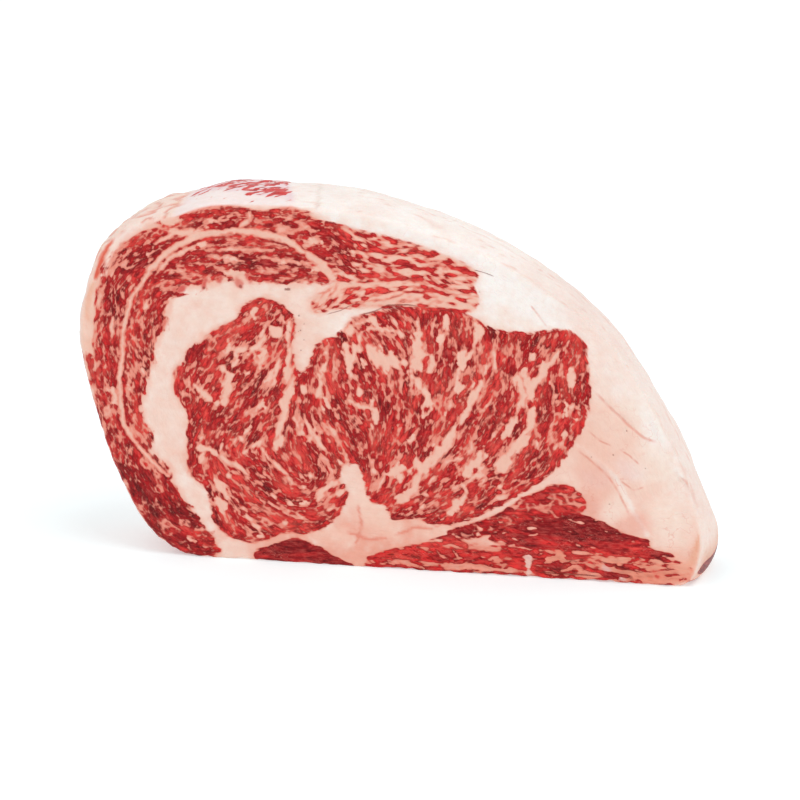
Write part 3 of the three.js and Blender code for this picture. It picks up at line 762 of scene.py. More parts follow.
def relief(g, F, x, z, rich):
    """Millimetres that a cut face stands out at x, z."""
    at = lambda k: g.at(F[k], x, z)
    eye, cap, out = at("EYE"), at("CAP"), at("OUT")
    lean = at("lean")
    r = 0.55 * smooth(0, 22, eye) + 0.30 * smooth(0, 9, cap)
    for k, w in (("EYE", 1.1), ("CAP", 1.0), ("STREAK", 0.9), ("LOBE", 0.9), ("DARK", 0.8)):
        r = r - 0.22 * np.exp(-((at(k) - 0.2) / w) ** 2)
    plain = smooth(0.5, -3.0, at("muscle"))
    r = r + plain * (0.30 * fbm(x * 0.075, z * 0.075, 301, 3) + 0.10 * fbm(x * 0.3, z * 0.3, 305, 2))
    r = r - 0.10 * smooth(-0.5, 0.5, lean) * (1 - plain)
    r = r + 0.07 * at("mid") * (1 - plain) + 0.14 * at("patch") * (1 - plain)
    # the lower edge was pulled apart: shreds and hollows
    torn = smooth(11, 5, z) * smooth(-12, 0, x) * smooth(118, 104, x)
    ridge = 1 - 2.2 * np.abs(fbm(x * 0.11, z * 0.34, 311, 3))
    r = r + torn * (0.9 * np.minimum(ridge, 0.55) - 0.75 + 0.25 * at("mid"))
    if rich:
        for pts, w, d in CREASES:
            r = r + groove(x, z, pts, w, d)
        for half, *pts in DARK_LINES:
            r = r + groove(x, z, np.array(pts).reshape(-1, 2), 0.5, 0.20)
        for half, *pts in PINK_LINES_AND_CREASE_SHADE[5:]:
            r = r + groove(x, z, np.array(pts).reshape(-1, 2), 0.7, 0.22)
        r = r - 0.35 * spot_marks(x, z)
    return r


def line_marks(lines, x, z):
    """Place across the nearest line, in its half widths, and how much of it shows."""
    s, w, near = np.full(x.shape, 9.0), np.zeros(x.shape), np.full(x.shape, 9.0)
    for half, *pts in lines:
        P = np.array(pts, float).reshape(-1, 2)
        L = np.r_[0, np.cumsum(np.hypot(*np.diff(P, axis=0).T))]
        for k in range(len(P) - 1):
            ex, ez = P[k + 1] - P[k]
            wx, wz = x - P[k, 0], z - P[k, 1]
            t = np.clip((wx * ex + wz * ez) / (ex * ex + ez * ez), 0, 1)
            d = np.hypot(wx - t * ex, wz - t * ez)
            u = (L[k] + t * (L[k + 1] - L[k])) / L[-1]
            hit = d < near
            s[hit] = (np.sign(ex * wz - ez * wx) * d / half)[hit]
            w[hit] = (smooth(0, 0.12, u) * smooth(1, 0.88, u) * smooth(4, 2, d))[hit]
            near = np.minimum(near, d)
    return s, w


def spot_marks(x, z):
    s = np.zeros(x.shape)
    for r, px, pz in SPOTS:
        s = np.maximum(s, np.exp(-((x - px) ** 2 + (z - pz) ** 2) / (r * r)))
    return s


# --- the skin: rings from the front rim to the back rim -----------------------
px, pz, nx, nz = P0[:, 0], P0[:, 1], N0[:, 0], N0[:, 1]


def ring(y, inset):
    out = side_out(nx, nz, px, pz, y / HALF) - inset
    return px + nx * out, np.maximum(pz + nz * out, -LIFT)


rows = []           # (y, inset, part of the normal along y, part along the outline's)
for k in range(5):
    a = k / 4 * math.pi / 2
    rows.append((-HALF + RIM_FRONT * (1 - math.cos(a)) + 0.75 * math.cos(a),
                 RIM_FRONT * (1 - math.sin(a)), -math.cos(a), math.sin(a)))
y0, y1 = -HALF + RIM_FRONT, HALF - RIM_BACK
for k in range(1, 26):
    rows.append((y0 + (y1 - y0) * k / 26, 0, 0, 1))
for k in range(5, -1, -1):
    a = k / 5 * math.pi / 2
    rows.append((HALF - RIM_BACK * (1 - math.cos(a)) - 0.9 * math.cos(a),
                 RIM_BACK * (1 - math.sin(a)), math.cos(a), math.sin(a)))
NR = len(rows)
RX, RY, RZ, DY, DN = (np.zeros((NR, AROUND)) for _ in range(5))
for k, (y, inset, ny, nn) in enumerate(rows):
    RX[k], RZ[k] = ring(y, inset)
    RY[k], DY[k], DN[k] = y, ny, nn

S2 = np.broadcast_to(ARC, RX.shape)      # millimetres along the outline
BX = np.broadcast_to(px, RX.shape)
BZ = np.broadcast_to(pz, RX.shape)
NX = np.broadcast_to(nx, RX.shape)
NZ = np.broadcast_to(nz, RX.shape)

# how strongly each part of the side is one or another: they fade into each other
wob = 2.0 * fbm(RY * 0.08, BX * 0.05, 401, 3)
TOPSIDE = smooth(0.15, 0.5, NZ)
UNDER = smooth(-0.45, -0.75, NZ)
LEFTSIDE = smooth(-0.35, -0.7, NX) * (1 - TOPSIDE) * (1 - UNDER)
CREST_END = BX + 0.30 * RY + 6 + 0.8 * wob
CAPFAT = smooth(-39.5, -36.5, CREST_END) * smooth(0.0, 0.3, NZ + 2 * np.clip(NX, 0, 1)) * (1 - UNDER)
STRIPE = smooth(-88, -80, BX + wob) * (1 - smooth(-38.5, -37.0, CREST_END)) * TOPSIDE
LUMPS = (1 - smooth(-88, -80, BX + wob)) * TOPSIDE
TAILEND = smooth(0.55, 0.9, NX) * smooth(34, 16, BZ) * (1 - UNDER)


def side_relief():
    """Millimetres that the side stands out, before the rims take it in."""
    r = 0.45 * fbm(S2 * 0.045, RY * 0.035, 411, 3)
    fold = fbm(S2 * 0.11, RY * 0.022, 413, 2)
    r = r + CAPFAT * (0.40 * fold - 0.45 * np.abs(fbm(S2 * 0.045, RY * 0.016, 417, 2)))
    r = r + LUMPS * (1.0 * fbm(S2 * 0.10, RY * 0.12, 421, 3) - 0.5 * np.exp(-(fbm(S2 * 0.07, RY * 0.09, 423, 2) / 0.10) ** 2))
    r = r + STRIPE * 0.45 * fbm(S2 * 0.08, RY * 0.30, 425, 3)
    r = r + UNDER * 0.5 * fbm(S2 * 0.35, RY * 0.06, 427, 3)
    r = r + LEFTSIDE * 0.35 * fbm(S2 * 0.22, RY * 0.08, 429, 3)
    r = r + 0.06 * fbm(S2 * 0.7, RY * 0.7, 431, 2)
    return r - 0.35


def fall_at(x, z):
    """How far the front face falls away at its rim: more along the fat cap."""
    return 0.55 + 1.1 * smooth(10, 50, x) * smooth(10, 40, z)


OUTW = side_relief() * DN
RY = RY + np.clip(-DY, 0, 1) * (fall_at(RX, RZ) - 0.55)
FRONTW = relief(gf, F, RX, RZ, True) - 0.45
BACKW = relief(gb, B, RX, RZ, False) - 0.45
VX = RX + NX * OUTW
VZ = np.maximum(RZ + NZ * OUTW, -LIFT)
VY = RY + np.where(DY < 0, DY * FRONTW, DY * BACKW)

# ragged lower front edge: lifted a little between the places that touch
lift = smooth(4.5, -1.5, BZ) * smooth(-HALF + 9, -HALF, RY) * np.clip(0.9 * fbm(BX * 0.16, RY * 0.1, 441, 3) + 0.15, 0, 1.4)
VZ = VZ + lift * smooth(1.2, -LIFT, VZ)


# --- the two cut faces: points over the plane, triangulated together ----------
def lattice(step):
    xs = np.arange(-124, 126, step)
    zs = np.arange(-LIFT, 142, step * 0.8660254)
    X, Z = np.meshgrid(xs, zs)
    X = X + (np.arange(len(zs)) % 2)[:, None] * step / 2
    return X, Z


def face_points(rx, rz, fine, g, F):
    """Points inside a rim's outline: close set over meat, wider over plain fat."""
    loop = np.stack([rx, rz], 1)
    g1 = Grid(1.0)
    D = inside_by(loop[::4], g1.X, g1.Z)
    X, Z = lattice(fine)
    meat = g.at(F["muscle"], X, Z) > -1.2
    if fine < 1:
        _, shown = line_marks(DARK_LINES, X, Z)
        meat = meat | (shown > 0.3) | (spot_marks(X, Z) > 0.02)
    jj = np.arange(X.shape[0])[:, None]
    ii = np.arange(X.shape[1])[None, :]
    every = (jj % 2 == 0) & (((ii + (jj // 2) % 2) % 2) == 0)
    keep = (meat | every) & (g1.at(D, X, Z) > 0.55 * fine + 0.25)
    rng = np.random.default_rng(9)
    X = X + rng.uniform(-.12, .12, X.shape) * fine
    Z = Z + rng.uniform(-.12, .12, Z.shape) * fine
    return X[keep], Z[keep]


def face_mesh(rx, rz, x, z):
    """Triangles over the rim's loop and the points inside it, anticlockwise in x, z."""
    n = len(rx)
    pts = np.concatenate([np.stack([rx, rz], 1), np.stack([x, z], 1)])
    loop = list(range(n))
    area = 0.5 * np.sum(rx * np.roll(rz, -1) - np.roll(rx, -1) * rz)
    if area < 0:
        loop = loop[::-1]
    v, _, tris, vo, _, _ = delaunay_2d_cdt([tuple(p) for p in pts.tolist()], [], [loop], 1, 1e-5, True)
    src = np.array([o[0] if o else -1 for o in vo])
    T = np.array([t for t in tris if len(t) == 3])
    T = src[T]
    A, Bp, C = pts[T[:, 0]], pts[T[:, 1]], pts[T[:, 2]]
    ar = (Bp[:, 0] - A[:, 0]) * (C[:, 1] - A[:, 1]) - (Bp[:, 1] - A[:, 1]) * (C[:, 0] - A[:, 0])
    T[ar < 0] = T[ar < 0][:, ::-1]
    # slivers that bridge a hollow of the rim lie outside it: their corners run backwards along it
    S = np.sort(T, 1)
    A, Bp, C = pts[S[:, 0]], pts[S[:, 1]], pts[S[:, 2]]
    turn = (Bp[:, 0] - A[:, 0]) * (C[:, 1] - A[:, 1]) - (Bp[:, 1] - A[:, 1]) * (C[:, 0] - A[:, 0])
    return T[(S[:, 2] >= n) | (turn * area > 0)]


fx, fz = face_points(VX[0], VZ[0], FINE, gf, F)
FT = face_mesh(VX[0], VZ[0], fx, fz)
bx, bz = face_points(VX[-1], VZ[-1], BACK_STEP, gb, B)
BT = face_mesh(VX[-1], VZ[-1], bx, bz)


def face_y(g, F, D, x, z, side, fall, rich):
    """Depth of a cut face at x, z, which lie D inside its rim."""
    y = HALF - 0.65 - fall * np.exp(-(D / (3.2 + 7.0 * fall)) ** 1.3)
    return side * (y + relief(g, F, x, z, rich))


g1 = Grid(1.0)
DF = np.maximum(g1.at(inside_by(np.stack([VX[0], VZ[0]], 1)[::4], g1.X, g1.Z), fx, fz), 0)
DB = np.maximum(g1.at(inside_by(np.stack([VX[-1], VZ[-1]], 1)[::4], g1.X, g1.Z), bx, bz), 0)
# at the rim the face meets the first ring exactly
yf = face_y(gf, F, DF, fx, fz, -1, fall_at(fx, fz), True)
yb = face_y(gb, B, DB, bx, bz, 1, np.full(bx.shape, 0.7), False)
yf = np.maximum(yf, -HALF)
yb = np.minimum(yb, HALF)

nr = NR * AROUND
verts = np.concatenate([
    np.stack([VX.ravel(), VY.ravel(), VZ.ravel()], 1),
    np.stack([fx, yf, fz], 1), np.stack([bx, yb, bz], 1)])
nf, nb = len(fx), len(bx)

tris = []
k_, i_ = np.meshgrid(np.arange(NR - 1), np.arange(AROUND), indexing="ij")
a = k_ * AROUND + i_
b = k_ * AROUND + (i_ + 1) % AROUND
c = (k_ + 1) * AROUND + (i_ + 1) % AROUND
d = (k_ + 1) * AROUND + i_
tris.append(np.stack([a, b, c], -1).reshape(-1, 3))
tris.append(np.stack([a, c, d], -1).reshape(-1, 3))
F_idx = np.where(FT < AROUND, FT, FT - AROUND + nr)           # front: ring 0, then its points
tris.append(F_idx)
B_idx = np.where(BT < AROUND, BT + (NR - 1) * AROUND, BT - AROUND + nr + nf)
tris.append(B_idx[:, ::-1])
tris = np.concatenate(tris)


# --- a flat map of the skin: front, back, and the side in four strips ----------
def flat_map():
    """Places on the unit square, one for each corner of each triangle."""
    xz = np.concatenate([np.stack([VX.ravel(), VZ.ravel()], 1), np.stack([fx, fz], 1), np.stack([bx, bz], 1)])
    lo, hi = xz.min(0), xz.max(0)
    scale = 0.992 / (hi[0] - lo[0])
    front_uv = (xz[F_idx] - lo) * scale + 0.004
    top = 0.004 + (hi[1] - lo[1]) * scale + 0.010
    room = 0.994 - top
    half = min(room / (hi[1] - lo[1]), 0.585 / (hi[0] - lo[0]))
    back_uv = (xz[B_idx[:, ::-1]] - lo) * half + np.array([0.004, top])
    back_uv = back_uv * np.array([-1, 1]) + np.array([0.008 + (hi[0] - lo[0]) * half, 0])
    depth = np.array([(y, inset) for y, inset, _, _ in rows])
    run = np.r_[0, np.cumsum(np.hypot(*np.diff(depth, axis=0).T))]
    run = run / run[-1]
    left = 0.004 + (hi[0] - lo[0]) * half + 0.012
    strips, gap = 4, 0.006
    tall = (room - gap * (strips - 1)) / strips
    per = AROUND // strips
    n, i = k_.ravel(), i_.ravel()
    strip, at = i // per, i % per

    def place(di, dn):
        return np.stack([left + (0.996 - left) * (at + di) / per,
                         top + strip * (tall + gap) + tall * run[n + dn]], -1)

    a, b, c, d = place(0, 0), place(1, 0), place(1, 1), place(0, 1)
    return np.concatenate([np.stack([a, b, c], 1), np.stack([a, c, d], 1), front_uv, back_uv])


# --- what each point carries for the material --------------------------------
def lin(c):
    c = np.clip(np.asarray(c, float) / 255, 0, 1)
    return np.where(c <= 0.04045, c / 12.92, ((c + 0.055) / 1.055) ** 2.4)


def sample(g, F, x, z):
    one = lambda k: g.at(F[k], x, z)
    three = lambda k: np.stack([g.at(F[k][..., j], x, z) for j in range(3)], -1)
    return dict(lean=one("lean"), red=three("red"), fat=three("fat"), lines=one("lines"),
                gc=one("gc"), gs=one("gs"), gy=np.zeros(x.shape), feather=one("feather"),
                veins=smooth(-1.0, -3.0, one("muscle")) * (0.35 + 0.65 * smooth(80, 40, z) * smooth(50, 70, x)))


def side_fields():
    """The same for the side, from its own noise; fibres run through the thickness."""
    s, y = S2, RY
    long = fbm(s * 0.32, y * 0.035, 501, 3)              # strands through the thickness
    long2 = fbm(s * 0.9, y * 0.08, 503, 2)
    lumps = fbm(s * 0.06, y * 0.06, 505, 3)
    fat = blend(FAT_CREAM, (254, 245, 239), np.clip(0.85 + 0.4 * lumps, 0, 1))
    fat = fat * np.ones(s.shape + (1,))
    low = smooth(60, 18, BZ) * smooth(0.3, 0.8, NX)
    fat = blend(fat, FAT_BEIGE, np.clip(low * 0.9, 0, 1))
    lean = np.full(s.shape, -1.6)
    # upper left: cream lumps with faint pink between them
    fold = fbm(s * 0.07, y * 0.09, 423, 2)
    fat = blend(fat, (243, 208, 192), LUMPS * (0.6 + 0.3 * lumps))
    fat = blend(fat, (250, 226, 196), LUMPS * 0.5 * smooth(0.1, 0.6, fbm(s * 0.11, y * 0.08, 509, 2)))
    fat = blend(fat, (226, 132, 114), LUMPS * 0.75 * np.exp(-(fold / 0.07) ** 2))
    # painted shade: the side of the fat cap darker towards its upper right end, where the light falls fully on it
    fat = blend(fat, (243, 221, 211), CAPFAT * smooth(35, 70, BX) * 0.8)
    lay = fbm(s * 0.030, y * 0.16, 531, 3)
    fat = blend(fat, (236, 190, 176), CAPFAT * 0.62 * np.exp(-(lay / 0.045) ** 2) * smooth(-0.2, 0.3, fbm(s * 0.05, y * 0.10, 533, 2)))
    # painted shade: a greyish line along the left edge of the fat layer on the top, as the shadow of that edge
    cap_edge_shade_across = BX + 33 + 0.22 * y + 2.0 * fbm(y * 0.12, 0.0 * y, 535, 2)
    fat = blend(fat, (232, 214, 203), CAPFAT * 0.55 * np.exp(-(cap_edge_shade_across / 0.8) ** 2))
    fat = blend(fat, (240, 206, 194), CAPFAT * 0.5 * smooth(0.25, 0.7, fbm(s * 0.05, y * 0.05, 537, 3)))
    lean = lean + LUMPS * 1.75 * smooth(0.35, 0.75, fbm(s * 0.10, y * 0.05, 507, 2) + 0.25 * long2)
    # crest: red strands along the outline over pale skin, with a bare skin edge in front
    along, across = 0.55 * BX + 0.83 * y, 0.83 * BX - 0.55 * y
    strand = 1.25 * fbm(along * 0.11, across * 0.42, 511, 3) + 0.5 * fbm(along * 0.30, across * 1.1, 513, 2)
    bare = smooth(-7, -11, y + 0.34 * (BX + 60) + 4 * lumps + 5 * fbm(BX * 0.14, y * 0.14, 519, 2))
    fat = blend(fat, (240, 214, 216), STRIPE * 0.9)
    fat = blend(fat, (238, 220, 230), STRIPE * 0.3 * smooth(0.0, 0.5, fbm(along * 0.1, across * 0.1, 517, 2)))
    fat = blend(fat, (251, 236, 231), STRIPE * bare * 0.85)
    sparse = smooth(-62, -84, BX)
    lean = lean + STRIPE * (1.64 - 0.25 * sparse + 3.2 * strand - 2.2 * bare)
    # under the slice and up its left end: cut muscle, strands through the thickness
    seen = gf.at(blur(F["lean"], 4), BX - NX * 3.5, np.clip(BZ - NZ * 3.5, 2.5, 140))
    under = np.clip(seen, -0.6, 0.6) + 0.9 * long + 0.35 * long2
    lean = lean * (1 - UNDER) + UNDER * under
    fat = blend(fat, FAT_PINK, UNDER * 0.55)
    skin = 0.25 + 0.9 * fbm(s * 0.12, y * 0.05, 515, 3) + 0.4 * long2 - 0.9 * smooth(70, 105, BZ)
    lean = lean * (1 - LEFTSIDE) + LEFTSIDE * (skin - 0.35)
    fat = blend(fat, (240, 203, 194), LEFTSIDE * 0.7)
    # low pointed end: a strip of dark red lean meat, painted darker still as the shade of this low corner, and a
    # brownish streak
    tail_meat_shade = TAILEND * smooth(10.5, 5.5, BZ - 0.12 * (y + 10) + 1.2 * long) * smooth(-21, -15, y + 3 * long)
    lean = np.maximum(lean, tail_meat_shade * 2.2 - 1.2)
    red = blend(LEAN_MID, LEAN_EDGE, np.clip(0.5 + 0.9 * long, 0, 1)) * np.ones(s.shape + (1,))
    red = blend(red, (216, 42, 42), STRIPE * 0.9)
    red = blend(red, (226, 104, 100), STRIPE * np.clip(0.3 - 1.4 * strand, 0, 1) * 0.6)
    red = blend(red, (206, 96, 84), LUMPS * 0.8)
    # painted shade: the lean of the low end darkened to maroon
    red = blend(red, (124, 34, 36), np.clip(tail_meat_shade * 1.4, 0, 1))
    red = blend(red, (158, 70, 52), np.clip(tail_meat_shade * 1.4, 0, 1) * smooth(0.0, 0.6, long2 + 0.5 * long) * 0.7)
    fat = blend(fat, (222, 150, 120), TAILEND * 0.55 * smooth(16, 8, BZ - 0.12 * (y + 10)) * smooth(-22, -16, y))
    red = blend(red, LEAN_DEEP, UNDER * np.clip(0.4 - 0.8 * long, 0, 1) * 0.7)
    gy = np.ones(s.shape)
    gy = gy * (1 - STRIPE)
    tx, tz = NZ, -NX
    return dict(lean=lean, red=red, fat=fat, lines=0.5 * np.ones(s.shape),
                gc=(tx * tx - tz * tz) * STRIPE, gs=2 * tx * tz * STRIPE, gy=gy,
                feather=0.9 - 0.55 * STRIPE - 0.4 * LUMPS, veins=0.3 * CAPFAT + 0.6 * LUMPS)


ringF = sample(gf, F, RX, RZ)
ringB = sample(gb, B, RX, RZ)
sideS = side_fields()
wf = smooth(0.25, 0.9, -DY * 1.0)
wb = smooth(0.25, 0.9, DY * 1.0)
skin = {}
for k in ringF:
    a, b_, c_ = (np.asarray(q[k], float) for q in (ringF, ringB, sideS))
    if a.ndim == 3:
        skin[k] = a * wf[..., None] + b_ * wb[..., None] + c_ * (1 - wf - wb)[..., None]
    else:
        skin[k] = a * wf + b_ * wb + c_ * (1 - wf - wb)
front = sample(gf, F, fx, fz)
back = sample(gb, B, bx, bz)
carry = {}
for k in skin:
    s_ = skin[k].reshape((nr,) + skin[k].shape[2:])
    carry[k] = np.concatenate([s_, front[k], back[k]])

# --- mesh ----------------------------------------------------------------------
co = verts.copy()
co[:, 0] += SHIFT
co[:, 2] += LIFT
lo, hi = np.array(cad_low) / MM, np.array(cad_high) / MM
co = np.clip(co, lo, hi)
me = bpy.data.meshes.new("ribeye")
nt = len(tris)
me.vertices.add(len(co))
me.vertices.foreach_set("co", (co * MM).astype(np.float32).ravel())
me.loops.add(nt * 3)
me.loops.foreach_set("vertex_index", tris.astype(np.int32).ravel())
me.polygons.add(nt)
me.polygons.foreach_set("loop_start", np.arange(nt, dtype=np.int32) * 3)
me.polygons.foreach_set("loop_total", np.full(nt, 3, np.int32))
uv = me.uv_layers.new(name="OFBake")
uv.data.foreach_set("uv", flat_map().astype(np.float32).ravel())
me.update(calc_edges=True)
me.validate()
me.shade_smooth()


def put(name, kind, values):
    at = me.attributes.new(name, kind, "POINT")
    if kind == "FLOAT":
        at.data.foreach_set("value", values.astype(np.float32).ravel())
    elif kind == "FLOAT_VECTOR":
        at.data.foreach_set("vector", values.astype(np.float32).ravel())
    else:
        rgba = np.concatenate([values, np.ones((len(values), 1))], 1)
        at.data.foreach_set("color", rgba.astype(np.float32).ravel())


put("lean", "FLOAT", carry["lean"])
put("lines", "FLOAT", carry["lines"])
ds, dw = line_marks(DARK_LINES, verts[:, 0], verts[:, 2])
# the pink lines: mostly painted shade along the front's creases
pink_line_and_shade_across, pink_line_and_shade_shown = line_marks(PINK_LINES_AND_CREASE_SHADE, verts[:, 0], verts[:, 2])
front_only = verts[:, 1] < -HALF + 3
put("dark_marks", "FLOAT_VECTOR", np.stack([ds, dw * front_only, spot_marks(verts[:, 0], verts[:, 2]) * front_only], 1))
put("pink_veins_and_crease_shade", "FLOAT_VECTOR", np.stack([pink_line_and_shade_across, pink_line_and_shade_shown * front_only, carry["veins"]], 1))
put("feather", "FLOAT", carry["feather"])
put("red_tint", "FLOAT_COLOR", lin(carry["red"]))
put("fat_tint", "FLOAT_COLOR", lin(carry["fat"]))
put("grain", "FLOAT_VECTOR", np.stack([carry["gc"], carry["gs"], carry["gy"]], 1))
steak = bpy.data.objects.new("steak", me)
bpy.context.collection.objects.link(steak)


# --- material ------------------------------------------------------------------
class Nodes:
    def __init__(self, material):
        material.use_nodes = True
        self.tree = material.node_tree
        self.tree.nodes.clear()

    def new(self, kind, **settings):
        n = self.tree.nodes.new("ShaderNode" + kind)
        for k, v in settings.items():
            setattr(n, k, v)
        return n

    def join(self, a, b):
        self.tree.links.new(a, b)

    def feed(self, sock, v):
        if isinstance(v, bpy.types.NodeSocket):
            self.join(v, sock)
        else:
            sock.default_value = v

    def math(self, op, a, b=0.0, c=None, clamp=False):
        n = self.new("Math", operation=op, use_clamp=clamp)
        self.feed(n.inputs[0], a)
        self.feed(n.inputs[1], b)
        if c is not None:
            self.feed(n.inputs[2], c)
        return n.outputs[0]

    def ramp(self, v, a, b, lo=0.0, hi=1.0):
        n = self.new("MapRange", interpolation_type="SMOOTHSTEP")
        for k, q in enumerate((v, a, b, lo, hi)):
            self.feed(n.inputs[k], q)
        return n.outputs[0]

    def mix(self, t, a, b, blend_type="MIX"):
        n = self.new("Mix", data_type="RGBA", blend_type=blend_type)
        self.feed(n.inputs[0], t)
        self.feed(n.inputs[6], a)
        self.feed(n.inputs[7], b)
        return n.outputs[2]

    def attr(self, name):
        return self.new("Attribute", attribute_name=name)


def dot2(N, v, x, y):
    n = N.new("VectorMath", operation="DOT_PRODUCT")
    N.join(v, n.inputs[0])
    n.inputs[1].default_value = (x, y, 0)
    return n.outputs["Value"]


def meat_material():
    mat = bpy.data.materials.new("meat")
    N = Nodes(mat)
    place = N.new("TexCoord").outputs["Object"]
    lean = N.attr("lean").outputs["Fac"]
    lines = N.attr("lines").outputs["Fac"]
    red = N.attr("red_tint").outputs["Color"]
    fat = N.attr("fat_tint").outputs["Color"]
    grain = N.attr("grain").outputs["Vector"]

    # noise drawn out along the grain: six fixed directions, weighed by the grain's
    split = N.new("SeparateXYZ")
    N.join(grain, split.inputs[0])
    wy = split.outputs[2]
    rest = N.math("SUBTRACT", 1.0, wy, clamp=True)
    weights = []
    for k in range(6):
        w = dot2(N, grain, 2 * math.cos(k * math.pi / 3), 2 * math.sin(k * math.pi / 3))
        weights.append(N.math("MULTIPLY", N.math("SUBTRACT", w, 1.0, clamp=True), rest))

    def drawn(width, length, detail, seed):
        total = None
        for k in range(7):
            m = N.new("Mapping", vector_type="TEXTURE")
            N.join(place, m.inputs["Vector"])
            m.inputs["Location"].default_value = (seed * 0.11, seed * 0.07 + k * 0.3, seed * 0.05)
            if k < 6:
                m.inputs["Rotation"].default_value = (0, -k * math.pi / 6, 0)
                m.inputs["Scale"].default_value = (length * MM, width * MM * 2, width * MM)
                w = weights[k]
            else:
                m.inputs["Scale"].default_value = (width * MM, length * MM, width * MM)
                w = wy
            t = N.new("TexNoise", noise_dimensions="3D")
            N.join(m.outputs[0], t.inputs["Vector"])
            t.inputs["Scale"].default_value = 1.0
            t.inputs["Detail"].default_value = detail
            t.inputs["Roughness"].default_value = 0.55
            v = N.math("MULTIPLY", N.math("SUBTRACT", t.outputs[0], 0.5), w)
            total = v if total is None else N.math("ADD", total, v)
        return total

    wide = drawn(1.35, 4.4, 1.0, 1.0)
    fibre = drawn(0.55, 2.6, 1.0, 2.0)

    def noise(scale, detail=2.0, rough=0.5):
        t = N.new("TexNoise", noise_dimensions="3D")
        N.join(place, t.inputs["Vector"])
        t.inputs["Scale"].default_value = scale
        t.inputs["Detail"].default_value = detail
        t.inputs["Roughness"].default_value = rough
        return t.outputs[0]

    def grey(v, powers=(1, 1, 1)):
        c = N.new("CombineXYZ")
        for k in range(3):
            N.join(v if powers[k] == 1 else N.math("POWER", v, powers[k]), c.inputs[k])
        return c.outputs[0]

    speck = noise(1500, 1.0)
    broad = noise(90, 2.0)
    feather = N.attr("feather").outputs["Fac"]
    rag = N.math("MULTIPLY_ADD", wide, 0.95, N.math("MULTIPLY", fibre, 0.55))
    rag = N.math("MULTIPLY_ADD", rag, feather, lean)
    rag = N.math("MULTIPLY_ADD", N.math("SUBTRACT", speck, 0.5), 0.14, rag)
    meat = N.ramp(rag, -0.20, 0.10)
    # hair-fine fat in the lean, where two bundles touch
    hair = N.math("SUBTRACT", 1.0, N.ramp(N.math("ABSOLUTE", fibre), 0.0, 0.030))
    hair = N.math("MULTIPLY", hair, N.math("MULTIPLY", lines, N.ramp(broad, 0.35, 0.62)))
    # lean: darker skin round each flake, strands of uneven tone inside
    deep = N.math("MULTIPLY_ADD", wide, 1.5, 1.0)
    deep = N.math("MULTIPLY_ADD", fibre, 1.5, deep)
    deep = N.math("MULTIPLY_ADD", N.math("SUBTRACT", speck, 0.5), 0.40, deep)
    rim = N.math("MULTIPLY", N.ramp(rag, 0.55, 0.20), N.ramp(broad, 0.40, 0.60, 0.10, 0.42))
    deep = N.math("MULTIPLY", deep, N.math("SUBTRACT", 1.06, rim))
    lit = N.math("MULTIPLY", N.math("SUBTRACT", deep, 1.02, clamp=True), 0.62, clamp=True)
    deep = N.math("MINIMUM", N.math("MAXIMUM", deep, 0.42), 1.0)
    red2 = N.mix(1.0, red, grey(deep, (1, 1.18, 1.12)), "MULTIPLY")
    light = N.new("RGB")
    light.outputs[0].default_value = tuple(lin((229, 106, 94))) + (1,)
    red2 = N.mix(lit, red2, light.outputs[0])
    red3 = N.mix(N.math("MULTIPLY", hair, 0.62), red2, fat)
    # fat: mottled, pinker beside the lean
    pale = N.math("MULTIPLY_ADD", N.math("SUBTRACT", broad, 0.5), 0.17, 1.0)
    pale = N.math("MULTIPLY_ADD", N.math("SUBTRACT", noise(420, 2.0), 0.5), 0.17, pale)
    pale = N.math("MULTIPLY_ADD", N.math("SUBTRACT", speck, 0.5), 0.06, pale)
    fat2 = N.mix(1.0, fat, grey(pale, (0.4, 1, 1.2)), "MULTIPLY")
    blush = N.math("MULTIPLY", N.ramp(rag, -0.55, -0.12), 0.55)
    blushed = N.new("RGB")
    blushed.outputs[0].default_value = tuple(lin((232, 132, 112))) + (1,)
    fat3 = N.mix(blush, fat2, blushed.outputs[0])
    # fine pink veins wandering through the fat
    pink_and_crease_shade = N.new("SeparateXYZ")
    N.join(N.attr("pink_veins_and_crease_shade").outputs["Vector"], pink_and_crease_shade.inputs[0])
    wander = N.math("ABSOLUTE", N.math("SUBTRACT", noise(150, 3.0), 0.5))
    thread = N.math("MULTIPLY", N.ramp(wander, 0.016, 0.0), N.ramp(noise(55, 1.0), 0.44, 0.60))
    thread = N.math("MULTIPLY", N.math("MULTIPLY", thread, pink_and_crease_shade.outputs[2]), 0.34)
    tint = N.new("RGB")
    tint.outputs[0].default_value = tuple(lin((228, 142, 122))) + (1,)
    fat4 = N.mix(thread, fat3, tint.outputs[0])
    jit = N.math("MULTIPLY", N.math("SUBTRACT", speck, 0.5), 1.2)
    # painted shade: pink along the front's creases, from the crease lines
    line = N.ramp(N.math("ABSOLUTE", N.math("ADD", pink_and_crease_shade.outputs[0], jit)), 3.0, 0.2)
    line = N.math("MULTIPLY", N.math("MULTIPLY", line, pink_and_crease_shade.outputs[1]), N.ramp(noise(260, 1.0), 0.35, 0.6, 0.20, 0.62))
    fat5 = N.mix(line, fat4, tint.outputs[0])
    colour = N.mix(meat, fat5, red3)
